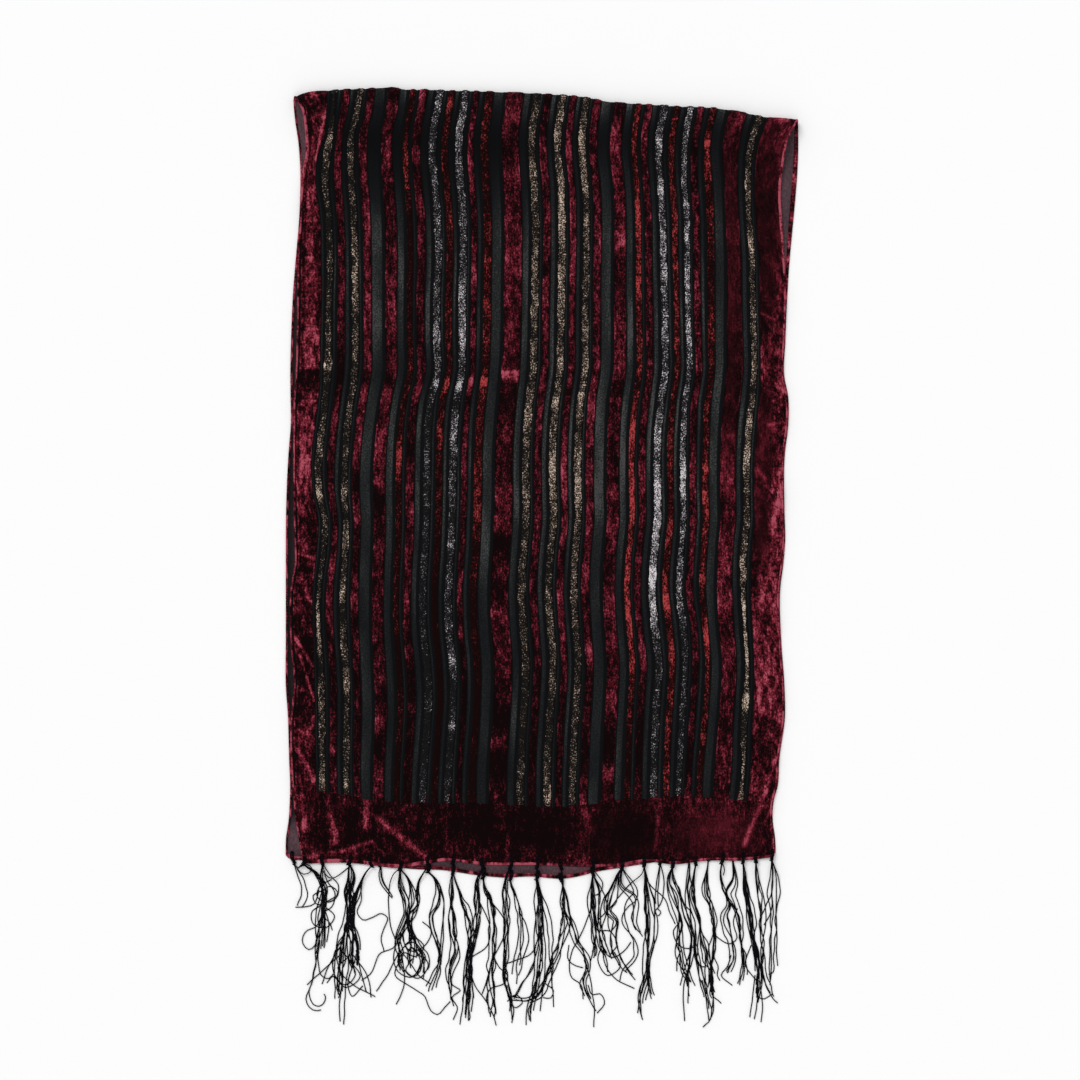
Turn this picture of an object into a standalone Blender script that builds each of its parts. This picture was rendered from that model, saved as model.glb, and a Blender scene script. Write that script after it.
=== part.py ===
"""A velvet scarf with fringed hems, folded in half and laid flat, fold at +Y and hems at -Y.

Metres, +Z up. The back stretch lies on the surface with its pile down. The front stretch lies
on it, pile up, and takes in the soft roll of the fold. Each knot of fringe is a tassel.
"""

import math

import bmesh
import bpy
import numpy as np
from mathutils import Vector

MM = 0.001

# Thicknesses and gaps
SEAM_GAP = 0.3 * MM
BACK_WALL = 1.2 * MM
CHANNEL_WALL = 1.1 * MM
PILE_HEIGHT = 0.8 * MM
BAND_WALL = CHANNEL_WALL + PILE_HEIGHT
FRONT_REST = BACK_WALL + SEAM_GAP

# The tables give places in millimetres across and down from a datum at the upper left
MIDDLE_ACROSS = 542.0
MIDDLE_DOWN = 557.75

# Roll of the fold: its outer radius along the fold, and how far it takes to settle
ROLL_RADIUS = {"across": (294, 420, 640, 797), "radius": (5.2, 4.6, 5.4, 6.2)}
SETTLED_AT = 78.0
ROLL_ANGLES = (-90, -45, 0, 45, 90)

# Outline lines that run across the scarf: the fold, the end of the stripes, and the two hems
FOLD_LINE = {
    "across": (294, 311, 345, 390, 406, 470, 530, 584, 608, 680, 716, 740, 764, 797),
    "down": (97.4, 92.3, 89.4, 87.5, 89.4, 91, 93.2, 97, 101.6, 106.6, 108.3, 112, 117, 120),
}
BAND_LINE = {
    "across": (296, 345, 366, 391, 423, 484, 530, 573, 621, 652, 673, 707, 751, 772),
    "down": (790, 793.6, 798, 800, 802, 802, 805, 805, 798, 797, 795, 796, 800, 801),
}
FRONT_HEM = {
    "across": (303, 349, 378, 395, 428, 446, 478, 530, 622, 651, 669, 709, 743, 774),
    "down": (860.7, 860, 863, 865, 861, 859, 863, 863.6, 864, 860, 862.5, 859, 859, 855.5),
}
BACK_HEM = {
    "across": (287, 290, 349, 385, 403, 446, 478, 505, 530, 565, 580, 593, 622, 660, 774.6),
    "down": (853, 858, 859, 863, 866.5, 869, 873.8, 876, 875, 877, 874.5, 871, 866, 860, 853),
}

# Under the roll the front stretch ends, and the back one begins, along one straight line
MEETING_LINE = {"across": (294, 797), "down": (111.5, 135.5)}

# Side edges of both stretches, one row for each place down the scarf
EDGE_COLUMNS = ("down", "front_left", "front_right", "back_left", "back_right")
EDGES = (
    (97, 296.0, 796.6, 294.4, 797.0),
    (110, 303.5, 796.6, 295.2, 797.0),
    (122, 306.0, 795.5, 296.5, 797.0),
    (132, 307.0, 790.0, 298.0, 797.0),
    (141, 307.5, 786.0, 299.4, 797.0),
    (155, 307.3, 783.0, 300.7, 796.8),
    (168, 304.5, 781.0, 301.4, 796.3),
    (193, 302.2, 779.0, 301.4, 794.5),
    (223, 301.0, 780.6, 300.0, 791.8),
    (258, 299.0, 783.0, 297.0, 788.5),
    (297, 298.4, 784.6, 294.0, 786.0),
    (340, 297.8, 783.2, 292.2, 784.2),
    (378, 296.6, 782.3, 291.5, 783.3),
    (395, 295.2, 785.6, 291.7, 786.7),
    (425, 294.6, 786.0, 291.9, 787.0),
    (452, 294.4, 782.8, 289.8, 783.8),
    (515, 295.0, 782.4, 287.2, 783.4),
    (538, 295.5, 783.0, 287.0, 784.0),
    (561, 296.0, 781.4, 287.0, 782.4),
    (589, 291.8, 778.0, 287.0, 779.0),
    (640, 291.5, 779.0, 287.0, 780.0),
    (686, 295.0, 782.2, 287.0, 783.2),
    (715, 292.0, 782.8, 289.0, 783.8),
    (760, 292.0, 777.0, 290.3, 778.0),
    (786, 293.5, 775.4, 291.3, 776.4),
    (800, 294.7, 771.6, 291.0, 772.6),
    (820, 296.5, 770.5, 289.8, 771.5),
    (838, 299.8, 772.8, 287.2, 773.8),
    (861, 303.5, 773.6, 287.0, 774.6),
)

# Velvet bands at the row 515 mm down, by their left and right edges; burnt-out channels between
BANDS = (
    (295.0, 314.0),
    (317.0, 328.0),
    (331.0, 336.6),
    (342.0, 350.0),
    (354.0, 362.0),
    (373.5, 386.0),
    (395.0, 401.5),
    (405.0, 414.0),
    (421.0, 431.0),
    (435.5, 442.0),
    (447.0, 457.6),
    (462.0, 467.0),
    (473.0, 482.0),
    (493.0, 514.0),
    (522.0, 530.0),
    (534.0, 541.0),
    (548.0, 557.0),
    (561.0, 567.0),
    (573.0, 582.0),
    (586.0, 593.0),
    (605.0, 615.5),
    (626.0, 633.0),
    (636.5, 643.5),
    (650.6, 659.0),
    (664.6, 671.6),
    (677.6, 686.0),
    (689.0, 696.0),
    (701.0, 708.5),
    (720.0, 735.0),
    (742.0, 751.0),
    (756.0, 782.4),
)
WIDE_CHANNEL = 9.0

# How far six stripes stray sideways from their place at 515 mm down, as they wander together
STRAY_COLUMNS = (322.5, 368.0, 487.5, 599.0, 655.0, 746.5)
STRAY_ROWS = (
    (97, (10.5, 12.0, 11.0, 7.0, 6.5, 10.0)),
    (137, (7.0, 7.2, 7.0, 1.5, 0.2, 4.0)),
    (179, (4.0, 7.8, 8.7, 4.5, 0.2, 1.0)),
    (263, (7.3, 11.2, 9.3, 7.2, 5.5, 6.0)),
    (347, (6.0, 10.5, 7.7, 6.5, 7.2, 7.3)),
    (389, (3.0, 8.2, 4.7, 3.5, 5.2, 6.7)),
    (431, (2.3, 2.8, 1.0, -0.5, -0.2, 2.3)),
    (515, (0.0, 0.0, 0.0, 0.0, 0.0, 0.0)),
    (599, (-1.3, -2.8, -5.3, -5.8, -5.8, -3.0)),
    (683, (1.0, 0.8, 0.0, -0.8, -0.5, -0.3)),
    (767, (2.0, -2.5, -3.7, -4.5, -4.2, -3.0)),
    (800, (2.3, -1.2, -4.7, -5.2, -5.5, -6.0)),
)

# Rows of the front stretch past the roll: 0 is the fold, 1 the end of the stripes, 2 the hem
FRONT_ROWS = (
    0.023, 0.045, 0.075, 0.12, 0.2, 0.29, 0.37, 0.388, 0.402, 0.42, 0.5, 0.58, 0.66, 0.75,
    0.84, 0.92, 1.0, 1.06, 1.5, 2.0,
)
BACK_ROWS = (0.03, 0.06, 0.12, 0.2, 0.3, 0.42, 0.55, 0.62, 0.68, 0.76, 0.84, 0.92, 0.97, 1.0)

# Largest creases: a ridge from one place to another, with its height and half width
CREASE_COLUMNS = ("across_1", "down_1", "across_2", "down_2", "height", "half_width")
CREASES = (
    (296, 375, 780, 371, 1.5, 11),
    (420, 815, 482, 862, 1.6, 11),
    (300, 858, 395, 832, 1.4, 9),
    (776, 755, 745, 850, 1.6, 10),
    (760, 318, 782, 330, 1.2, 9),
    (296, 640, 310, 560, 1.3, 10),
)
RIPPLE_HEIGHT = 1.2
RIPPLE_LENGTH = 96.0
RIPPLE_REACH = 20.0

# Fringe: the tassels' knots, and the levels down the scarf at which each strand has a point.
# A back tassel's knot lies under the front hem or under the front tassel's strands.
KNOT_HALF_WIDTH = 3.4
KNOT_HALF_LENGTH = 3.9
BACK_KNOT_HALF_HEIGHT = 1.0
FRONT_KNOT_HALF_HEIGHT = 1.3
KNOT_SEGMENTS = 7
KNOT_RINGS = 4
STRAND_RADIUS = 0.55
STRAND_PITCH_IN_KNOT = 0.85
STRAND_LAYER_STEP = 0.4
STRAND_SPACING = 1.35
STRAND_FLOOR = 1.0
STRAND_WAVE = 1.6
SHORTEST_TIP = 902.0
TIP_STEP = 6.5
DROP_LENGTH = 30.0
OPENING_LENGTH = 60.0
LEVELS = (897, 917, 939, 961, 983, 1006, 1028)
ROUTE_LEVELS = (862, 893, 923, 958, 1000)
TASSEL_COLUMNS = ("knot", "at_893", "at_923", "at_958", "at_1000", "tip", "strands", "spread")
FRONT_TASSELS = (
    (303.5, 313.0, 319.0, 319.0, 317.0, 1005, 5, 6.0),
    (322.6, 326.0, 329.0, 328.0, 328.0, 945, 6, 6.0),
    (349.4, 347.5, 346.0, 343.0, 342.0, 1027, 5, 3.0),
    (371.7, 361.0, 355.0, 356.0, 358.0, 1000, 6, 3.5),
    (400.4, 404.0, 405.5, 401.0, 400.0, 985, 5, 5.0),
    (428.0, 419.5, 417.0, 424.0, 420.0, 985, 4, 5.0),
    (453.0, 451.5, 453.0, 453.5, 451.0, 1014, 4, 3.0),
    (483.0, 478.0, 477.0, 472.5, 471.5, 1027, 5, 2.6),
    (510.5, 506.5, 506.0, 506.0, 508.0, 1027, 4, 2.6),
    (537.0, 537.5, 539.0, 539.0, 532.0, 1027, 5, 3.0),
    (561.0, 561.5, 563.0, 558.0, 554.0, 1002, 4, 3.0),
    (593.0, 593.0, 594.0, 591.0, 595.0, 1025, 5, 3.5),
    (622.0, 618.0, 618.0, 621.0, 626.0, 976, 7, 11.0),
    (644.0, 644.5, 646.5, 647.0, 642.0, 1021, 6, 3.5),
    (672.5, 672.0, 679.5, 683.0, 693.0, 1000, 5, 3.5),
    (695.5, 694.5, 699.0, 706.0, 709.0, 1028, 5, 3.0),
    (721.7, 721.5, 728.5, 731.0, 729.0, 985, 4, 5.0),
    (742.7, 747.0, 752.5, 756.5, 757.0, 1018, 7, 4.0),
    (755.5, 760.0, 762.5, 764.5, 768.0, 1002, 4, 3.0),
    (771.4, 773.5, 774.5, 775.0, 775.5, 1005, 4, 2.5),
)
BACK_TASSELS = (
    (293.5, 303.0, 303.0, 300.0, 300.0, 908, 3, 3.0),
    (349.4, 353.5, 350.5, 350.0, 351.0, 997, 4, 3.0),
    (381.0, 388.0, 391.0, 391.0, 391.0, 902, 3, 4.0),
    (400.4, 413.0, 411.0, 412.0, 410.0, 985, 4, 4.0),
    (428.0, 437.5, 438.0, 438.5, 429.0, 1001, 4, 5.0),
    (453.0, 459.0, 467.0, 467.0, 467.0, 1026, 4, 3.0),
    (483.0, 485.0, 491.5, 493.0, 492.0, 1027, 4, 3.0),
    (510.5, 514.0, 521.5, 520.5, 515.0, 986, 4, 3.0),
    (537.0, 543.0, 548.5, 550.0, 545.0, 1008, 3, 3.5),
    (561.0, 566.5, 571.5, 583.0, 590.0, 1020, 5, 3.0),
    (593.0, 601.0, 602.0, 604.0, 608.0, 976, 3, 4.0),
    (644.0, 650.0, 653.0, 652.5, 649.0, 1011, 3, 3.0),
    (660.0, 657.5, 659.0, 659.0, 659.0, 918, 2, 3.0),
    (672.5, 680.0, 688.0, 689.0, 696.0, 1020, 4, 3.5),
    (689.0, 688.5, 693.5, 696.0, 702.0, 1012, 4, 3.0),
    (708.4, 707.5, 712.5, 714.0, 714.0, 992, 5, 4.0),
    (732.5, 733.0, 739.5, 744.5, 741.0, 983, 5, 3.0),
)

PALETTE = {
    "burgundy_velvet": {"color": (0.16, 0.018, 0.035, 1.0), "roughness": 0.7},
    "grey_wrong_side": {"color": (0.07, 0.068, 0.072, 1.0), "roughness": 0.85},
    "black_yarn": {"color": (0.008, 0.008, 0.01, 1.0), "roughness": 0.6},
}


def clear_scene():
    """Remove whatever the scene holds, so that only the scarf is left."""
    for thing in list(bpy.data.objects):
        bpy.data.objects.remove(thing, do_unlink=True)


def make_collection(name, shown=True):
    """A collection under the scene's own. One that isn't shown holds construction objects."""
    collection = bpy.data.collections.new(name)
    bpy.context.scene.collection.children.link(collection)
    collection.hide_render = not shown
    return collection


def make_material(name):
    """A Principled material with a named colour and roughness."""
    material = bpy.data.materials.new(name)
    material.use_nodes = True
    shader = material.node_tree.nodes["Principled BSDF"]
    shader.inputs["Base Color"].default_value = PALETTE[name]["color"]
    shader.inputs["Roughness"].default_value = PALETTE[name]["roughness"]
    shader.inputs["Metallic"].default_value = 0.0
    return material


def to_metres(across, down, height):
    """A point in metres about the origin from millimetres across, down and above the surface."""
    return Vector(((across - MIDDLE_ACROSS) * MM, (MIDDLE_DOWN - down) * MM, height * MM))


def line_down(line, across):
    """How far down a line that runs across the scarf lies, at one place across."""
    return float(np.interp(across, line["across"], line["down"]))


def edge_across(name, down):
    """Where a side edge lies across the scarf, at one place down."""
    table = np.array(EDGES)
    column = EDGE_COLUMNS.index(name)
    return float(np.interp(down, table[:, 0], table[:, column]))


def stray_at(down):
    """How far the named stripes stray sideways, at one place down."""
    downs = [row[0] for row in STRAY_ROWS]
    strays = np.array([row[1] for row in STRAY_ROWS])
    return [float(np.interp(down, downs, strays[:, i])) for i in range(len(STRAY_COLUMNS))]


def across_at(rest, down, side):
    """Where a lengthwise thread lies across the scarf; rest is its place at 515 mm down.

    side is front or back, and says between which pair of edges the threads are spread.
    """
    rests = [BANDS[0][0], *STRAY_COLUMNS, BANDS[-1][1]]
    strayed = [rest_0 + stray for rest_0, stray in zip(STRAY_COLUMNS, stray_at(down))]
    now = [edge_across(side + "_left", down), *strayed, edge_across(side + "_right", down)]
    return float(np.interp(rest, rests, now))


def fold_threads():
    """Lengthwise threads across the front stretch, as pairs of a rest place and a pile height.

    A band has one at each edge, on its pile. A channel has one at its middle, a wide one two.
    """
    threads = []
    for index, (start, end) in enumerate(BANDS):
        threads.append((start, 1.0))
        threads.append((end, 1.0))
        if index + 1 == len(BANDS):
            break
        width = BANDS[index + 1][0] - end
        shares = (0.3, 0.7) if width > WIDE_CHANNEL else (0.5,)
        for share in shares:
            threads.append((end + width * share, 0.0))
    return threads


def roll_radius(across):
    """Outer radius of the fold's roll at one place across, in millimetres."""
    return float(np.interp(across, ROLL_RADIUS["across"], ROLL_RADIUS["radius"]))


def crease_lift(across, down):
    """How far the creases and the ripples of the side edges lift the front cloth."""
    lift = 0.0
    for values in CREASES:
        crease = dict(zip(CREASE_COLUMNS, values))
        start = Vector((crease["across_1"], crease["down_1"]))
        run = Vector((crease["across_2"], crease["down_2"])) - start
        here = Vector((across, down)) - start
        share = min(max(here.dot(run) / run.length_squared, 0.0), 1.0)
        away = (here - run * share).length
        lift += crease["height"] * math.exp(-((away / crease["half_width"]) ** 2))
    for side in ("front_left", "front_right"):
        away = abs(across - edge_across(side, down))
        wave = 0.5 + 0.5 * math.sin(math.tau * down / RIPPLE_LENGTH)
        lift += RIPPLE_HEIGHT * wave * math.exp(-away / RIPPLE_REACH)
    return lift


def row_down(row, across):
    """Place down of a row: 0 is the fold, 1 the end of the stripes and 2 the front hem."""
    fold = line_down(FOLD_LINE, across)
    band = line_down(BAND_LINE, across)
    hem = line_down(FRONT_HEM, across)
    return float(np.interp(row, (0, 1, 2), (fold, band, hem)))


def lip_points(rest):
    """Outer and inner point of one thread where the front stretch ends, under the roll."""
    across = across_at(rest, MEETING_LINE["down"][0], "back")
    down = line_down(MEETING_LINE, across)
    return [to_metres(across, down, 0.0), to_metres(across, down, BACK_WALL / MM)]


def roll_points(rest, pile, angle):
    """Outer and inner point of one thread on the fold's roll.

    The angle runs from -90 degrees, where the roll rests, round to 90 at its top.
    """
    fold_across = across_at(rest, FOLD_LINE["down"][0], "back")
    fold = line_down(FOLD_LINE, fold_across)
    radius = roll_radius(fold_across)
    turn = math.radians(angle)
    resting = angle == -90
    outer_radius = radius if resting else radius - (1.0 - pile) * PILE_HEIGHT / MM
    wall = (BACK_WALL if resting else BAND_WALL) / MM
    points = []
    for reach in (outer_radius, radius - wall):
        down = fold + radius - reach * math.cos(turn)
        side = "front" if angle > 0 else "back"
        height = radius + reach * math.sin(turn)
        points.append(to_metres(across_at(rest, down, side), down, height))
    return points


def run_points(rest, pile, row):
    """Outer and inner point of one thread on a row between the roll and the hem."""
    guess = across_at(rest, row_down(row, rest), "front")
    down = row_down(row, guess)
    across = across_at(rest, down, "front")
    fold = line_down(FOLD_LINE, across)
    radius = roll_radius(across)
    share = min(max((down - fold - radius) / (SETTLED_AT - radius), 0.0), 1.0)
    settle = 0.5 + 0.5 * math.cos(math.pi * share)
    roll_top = 2 * radius - (BAND_WALL + FRONT_REST) / MM
    inner = FRONT_REST / MM + roll_top * settle + crease_lift(across, down) * (1.0 - settle)
    wall = (CHANNEL_WALL + pile * PILE_HEIGHT) / MM
    return [to_metres(across, down, inner + wall), to_metres(across, down, inner)]


def front_rows(threads):
    """Rows of outer and inner points of the front stretch, from under the roll to the hem."""
    rows = [[lip_points(rest) for rest, _ in threads]]
    for angle in ROLL_ANGLES:
        rows.append([roll_points(rest, pile, angle) for rest, pile in threads])
    for row in FRONT_ROWS:
        plain = row > 1.0
        rows.append([run_points(rest, 1.0 if plain else pile, row) for rest, pile in threads])
    return rows


def rim_faces(mesh, outer, inner, inner_columns):
    """Close the wall along one end row with fans of triangles, one fan for each inner column."""
    for left, right in zip(inner_columns, inner_columns[1:]):
        hub = inner[left]
        for column in range(left, right):
            mesh.faces.new((hub, outer[column], outer[column + 1]))
        mesh.faces.new((hub, outer[right], inner[right]))


def build_front_stretch(collection, material):
    """The upper half of the cloth with the roll of the fold, bands raised over a plain inside."""
    threads = fold_threads()
    inner_columns = [i for i, (_, pile) in enumerate(threads) if pile == 0.0]
    inner_columns = [0, *inner_columns, len(threads) - 1]
    mesh = bmesh.new()
    outer = []
    inner = []
    for points in front_rows(threads):
        outer.append([mesh.verts.new(point[0]) for point in points])
        inner.append({column: mesh.verts.new(points[column][1]) for column in inner_columns})
    last = len(threads) - 1
    for row in range(len(outer) - 1):
        for column in range(last):
            mesh.faces.new((
                outer[row][column], outer[row][column + 1],
                outer[row + 1][column + 1], outer[row + 1][column],
            ))
        for left, right in zip(inner_columns, inner_columns[1:]):
            mesh.faces.new((
                inner[row][left], inner[row + 1][left], inner[row + 1][right], inner[row][right],
            ))
        for edge in (0, last):
            mesh.faces.new((
                outer[row][edge], outer[row + 1][edge], inner[row + 1][edge], inner[row][edge],
            ))
    rim_faces(mesh, outer[0], inner[0], inner_columns)
    rim_faces(mesh, outer[-1], inner[-1], inner_columns)
    bmesh.ops.recalc_face_normals(mesh, faces=mesh.faces[:])
    data = bpy.data.meshes.new("front_stretch")
    mesh.to_mesh(data)
    mesh.free()
    data.materials.append(material)
    front = bpy.data.objects.new("front_stretch", data)
    collection.objects.link(front)
    return front


def across_back(share, down):
    """A place across the back stretch, at a share of its width and one place down."""
    left = edge_across("back_left", down)
    return left + share * (edge_across("back_right", down) - left)


def build_back_stretch(collection, material):
    """The lower half of the cloth: a flat sheet with the back outline, given its wall.

    Its columns end at the named places of the back hem, and its rows are shares of its length.
    """
    hem_places = BACK_HEM["across"]
    columns = len(hem_places) - 1
    shares = (0.0, *BACK_ROWS)
    mesh = bmesh.new()
    bmesh.ops.create_grid(mesh, x_segments=columns, y_segments=len(BACK_ROWS), size=1.0)
    for vertex in mesh.verts:
        column = round((vertex.co.x + 1.0) / 2.0 * columns)
        row = round((1.0 - vertex.co.y) / 2.0 * len(BACK_ROWS))
        width_share = (hem_places[column] - hem_places[0]) / (hem_places[-1] - hem_places[0])
        start = SEAM_GAP / MM + MEETING_LINE["down"][0]
        for _ in range(2):
            start_across = across_back(width_share, start)
            start = line_down(MEETING_LINE, start_across) + SEAM_GAP / MM
        down = start + (BACK_HEM["down"][column] - start) * shares[row]
        vertex.co = to_metres(across_back(width_share, down), down, BACK_WALL / MM)
    data = bpy.data.meshes.new("back_stretch")
    mesh.to_mesh(data)
    mesh.free()
    data.materials.append(material)
    back = bpy.data.objects.new("back_stretch", data)
    collection.objects.link(back)
    wall = back.modifiers.new("wall", "SOLIDIFY")
    wall.thickness = BACK_WALL
    wall.offset = -1.0
    return back


def knot_down(knot, hems):
    """How far down a knot's middle lies, so that it just clears the hems that reach its place."""
    over = [hem for hem in hems if hem["across"][0] < knot + KNOT_HALF_WIDTH]
    sides = (-KNOT_HALF_WIDTH, 0.0, KNOT_HALF_WIDTH)
    lowest = max(line_down(hem, knot + side) for hem in over for side in sides)
    return lowest + SEAM_GAP / MM + KNOT_HALF_LENGTH


def tassel_rows():
    """All tassels in their order across, each as a dictionary of its table's named columns."""
    back_height = SEAM_GAP / MM + BACK_KNOT_HALF_HEIGHT
    front_height = back_height + BACK_KNOT_HALF_HEIGHT + SEAM_GAP / MM + FRONT_KNOT_HALF_HEIGHT
    rows = []
    for side, table, hems, height, half_height in (
        ("front", FRONT_TASSELS, (FRONT_HEM,), front_height, FRONT_KNOT_HALF_HEIGHT),
        ("back", BACK_TASSELS, (FRONT_HEM, BACK_HEM), back_height, BACK_KNOT_HALF_HEIGHT),
    ):
        for number, values in enumerate(table, start=1):
            tassel = dict(zip(TASSEL_COLUMNS, values))
            tassel["name"] = f"{side}_tassel_{number:02d}"
            tassel["down"] = knot_down(tassel["knot"], hems)
            tassel["height"] = height
            tassel["half_height"] = half_height
            rows.append(tassel)
    return sorted(rows, key=lambda tassel: tassel["at_893"] + tassel["at_923"])


def wanted_across(tassel, strand, down):
    """Where a strand would lie at a level: its tassel's route, its share of the spread, a wave."""
    share = 2.0 * strand / (tassel["strands"] - 1) - 1.0
    route = [tassel[name] for name in ("knot", "at_893", "at_923", "at_958", "at_1000")]
    middle = float(np.interp(down, ROUTE_LEVELS, route))
    opened = min((down - ROUTE_LEVELS[0]) / OPENING_LENGTH, 1.0)
    phase = 1.7 * strand + 0.9 * tassel["knot"]
    wave = STRAND_WAVE * opened * math.sin(down / 17.0 + phase)
    return middle + share * tassel["spread"] * opened + wave


def spread_apart(places, spacing):
    """Push ordered places apart until each is at least a spacing from its neighbours."""
    places = list(places)
    for _ in range(400):
        moved = False
        for i in range(len(places) - 1):
            short = spacing - (places[i + 1] - places[i])
            if short > 1e-6:
                places[i] -= short / 2.0
                places[i + 1] += short / 2.0
                moved = True
        if not moved:
            break
    return places


def strand_tip(tassel, strand):
    """How far down a strand ends: its tassel's tip, and somewhat less for the other strands."""
    count = tassel["strands"]
    if strand == count // 2:
        return tassel["tip"]
    turn = (strand * 3 + 1) % count
    return max(tassel["tip"] - TIP_STEP * (turn + 1), SHORTEST_TIP)


def placed_strands(tassels):
    """Place across of each strand at each level that it reaches or ends before.

    The strands keep their order across at every level, so that none crosses another.
    """
    strands = [(tassel, strand) for tassel in tassels for strand in range(tassel["strands"])]
    places = {}
    for above, level in zip((0, *LEVELS), LEVELS):
        reaching = [pair for pair in strands if strand_tip(*pair) > above]
        wanted = [wanted_across(tassel, strand, level) for tassel, strand in reaching]
        spread = spread_apart(wanted, STRAND_SPACING)
        for (tassel, strand), across in zip(reaching, spread):
            places[tassel["name"], strand, level] = across
    return places


def strand_height(tassel, strand, layer, level):
    """How high a strand lies at a level: it comes down from its knot and then rides in waves."""
    dropped = min((level - LEVELS[0]) / DROP_LENGTH, 1.0)
    falling = max(STRAND_FLOOR, (tassel["height"] + layer) * (1.0 - dropped))
    wave = 1.0 + math.sin(0.11 * level + strand + tassel["knot"])
    return falling + 0.5 * dropped * wave


def strand_route(tassel, strand, places):
    """The points of one strand, from inside its knot to its tip, across, down and up."""
    middle = (tassel["strands"] - 1) / 2.0
    across = tassel["knot"] + (strand - middle) * STRAND_PITCH_IN_KNOT
    layer = STRAND_LAYER_STEP * (1 if strand % 2 else -1)
    height = tassel["height"] + layer
    leaves = tassel["down"] + KNOT_HALF_LENGTH + 1.0
    points = [(across, tassel["down"], height), (across, leaves, height)]
    tip = strand_tip(tassel, strand)
    for level in LEVELS:
        here = places[tassel["name"], strand, level]
        height = strand_height(tassel, strand, layer, level)
        if level >= tip:
            last_across, last_down, _ = points[-1]
            share = (tip - last_down) / (level - last_down)
            points.append((last_across + (here - last_across) * share, tip, height))
            break
        points.append((here, level, height))
    return points


def build_strands(name, routes, section, collection):
    """One mesh of a tassel's strands: thin three-sided tubes, each along its own points."""
    curve = bpy.data.curves.new(name, "CURVE")
    curve.dimensions = "3D"
    curve.bevel_mode = "OBJECT"
    curve.bevel_object = section
    curve.use_fill_caps = True
    for points in routes:
        spline = curve.splines.new("POLY")
        spline.points.add(len(points) - 1)
        for spline_point, point in zip(spline.points, points):
            spline_point.co = (*to_metres(*point), 1.0)
    tubes = bpy.data.objects.new(name + "_curve", curve)
    collection.objects.link(tubes)
    bpy.context.view_layer.update()
    evaluated = tubes.evaluated_get(bpy.context.evaluated_depsgraph_get())
    data = bpy.data.meshes.new_from_object(evaluated)
    mesh = bmesh.new()
    mesh.from_mesh(data)
    bmesh.ops.remove_doubles(mesh, verts=mesh.verts[:], dist=0.00002)
    bmesh.ops.recalc_face_normals(mesh, faces=mesh.faces[:])
    mesh.to_mesh(data)
    mesh.free()
    strands = bpy.data.objects.new(name, data)
    strands.matrix_world = tubes.matrix_world
    collection.objects.link(strands)
    strands.display_type = "WIRE"
    bpy.data.objects.remove(tubes, do_unlink=True)
    return strands


def build_tassel(tassel, routes, section, collection, construction, material):
    """A knot of yarn with its strands fused into it."""
    bpy.ops.mesh.primitive_uv_sphere_add(
        segments=KNOT_SEGMENTS, ring_count=KNOT_RINGS, radius=1.0,
        location=to_metres(tassel["knot"], tassel["down"], tassel["height"]),
    )
    knot = bpy.context.active_object
    knot.name = tassel["name"]
    knot.data.name = tassel["name"]
    half_sizes = Vector((KNOT_HALF_WIDTH, KNOT_HALF_LENGTH, tassel["half_height"]))
    knot.scale = half_sizes * MM
    for holder in list(knot.users_collection):
        holder.objects.unlink(knot)
    collection.objects.link(knot)
    knot.data.materials.append(material)
    strands = build_strands(tassel["name"] + "_strands", routes, section, construction)
    strands.data.materials.append(material)
    fuse = knot.modifiers.new("fuse", "BOOLEAN")
    fuse.operation = "UNION"
    fuse.solver = "EXACT"
    fuse.object = strands
    return knot


def build_strand_section(collection):
    """The three-sided outline that every strand is swept from."""
    curve = bpy.data.curves.new("strand_section", "CURVE")
    curve.dimensions = "2D"
    spline = curve.splines.new("POLY")
    spline.points.add(2)
    spline.use_cyclic_u = True
    for i, point in enumerate(spline.points):
        angle = math.radians(90 + 120 * i)
        radius = STRAND_RADIUS * MM
        point.co = (radius * math.cos(angle), radius * math.sin(angle), 0.0, 1.0)
    section = bpy.data.objects.new("strand_section", curve)
    collection.objects.link(section)
    return section


clear_scene()
scarf = make_collection("velvet_scarf")
construction = make_collection("construction", shown=False)
velvet = make_material("burgundy_velvet")
wrong_side = make_material("grey_wrong_side")
yarn = make_material("black_yarn")
build_front_stretch(scarf, velvet)
build_back_stretch(scarf, wrong_side)
strand_section = build_strand_section(construction)
all_tassels = tassel_rows()
all_places = placed_strands(all_tassels)
for one_tassel in all_tassels:
    own_routes = [
        strand_route(one_tassel, strand, all_places) for strand in range(one_tassel["strands"])
    ]
    build_tassel(one_tassel, own_routes, strand_section, scarf, construction, yarn)
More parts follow.
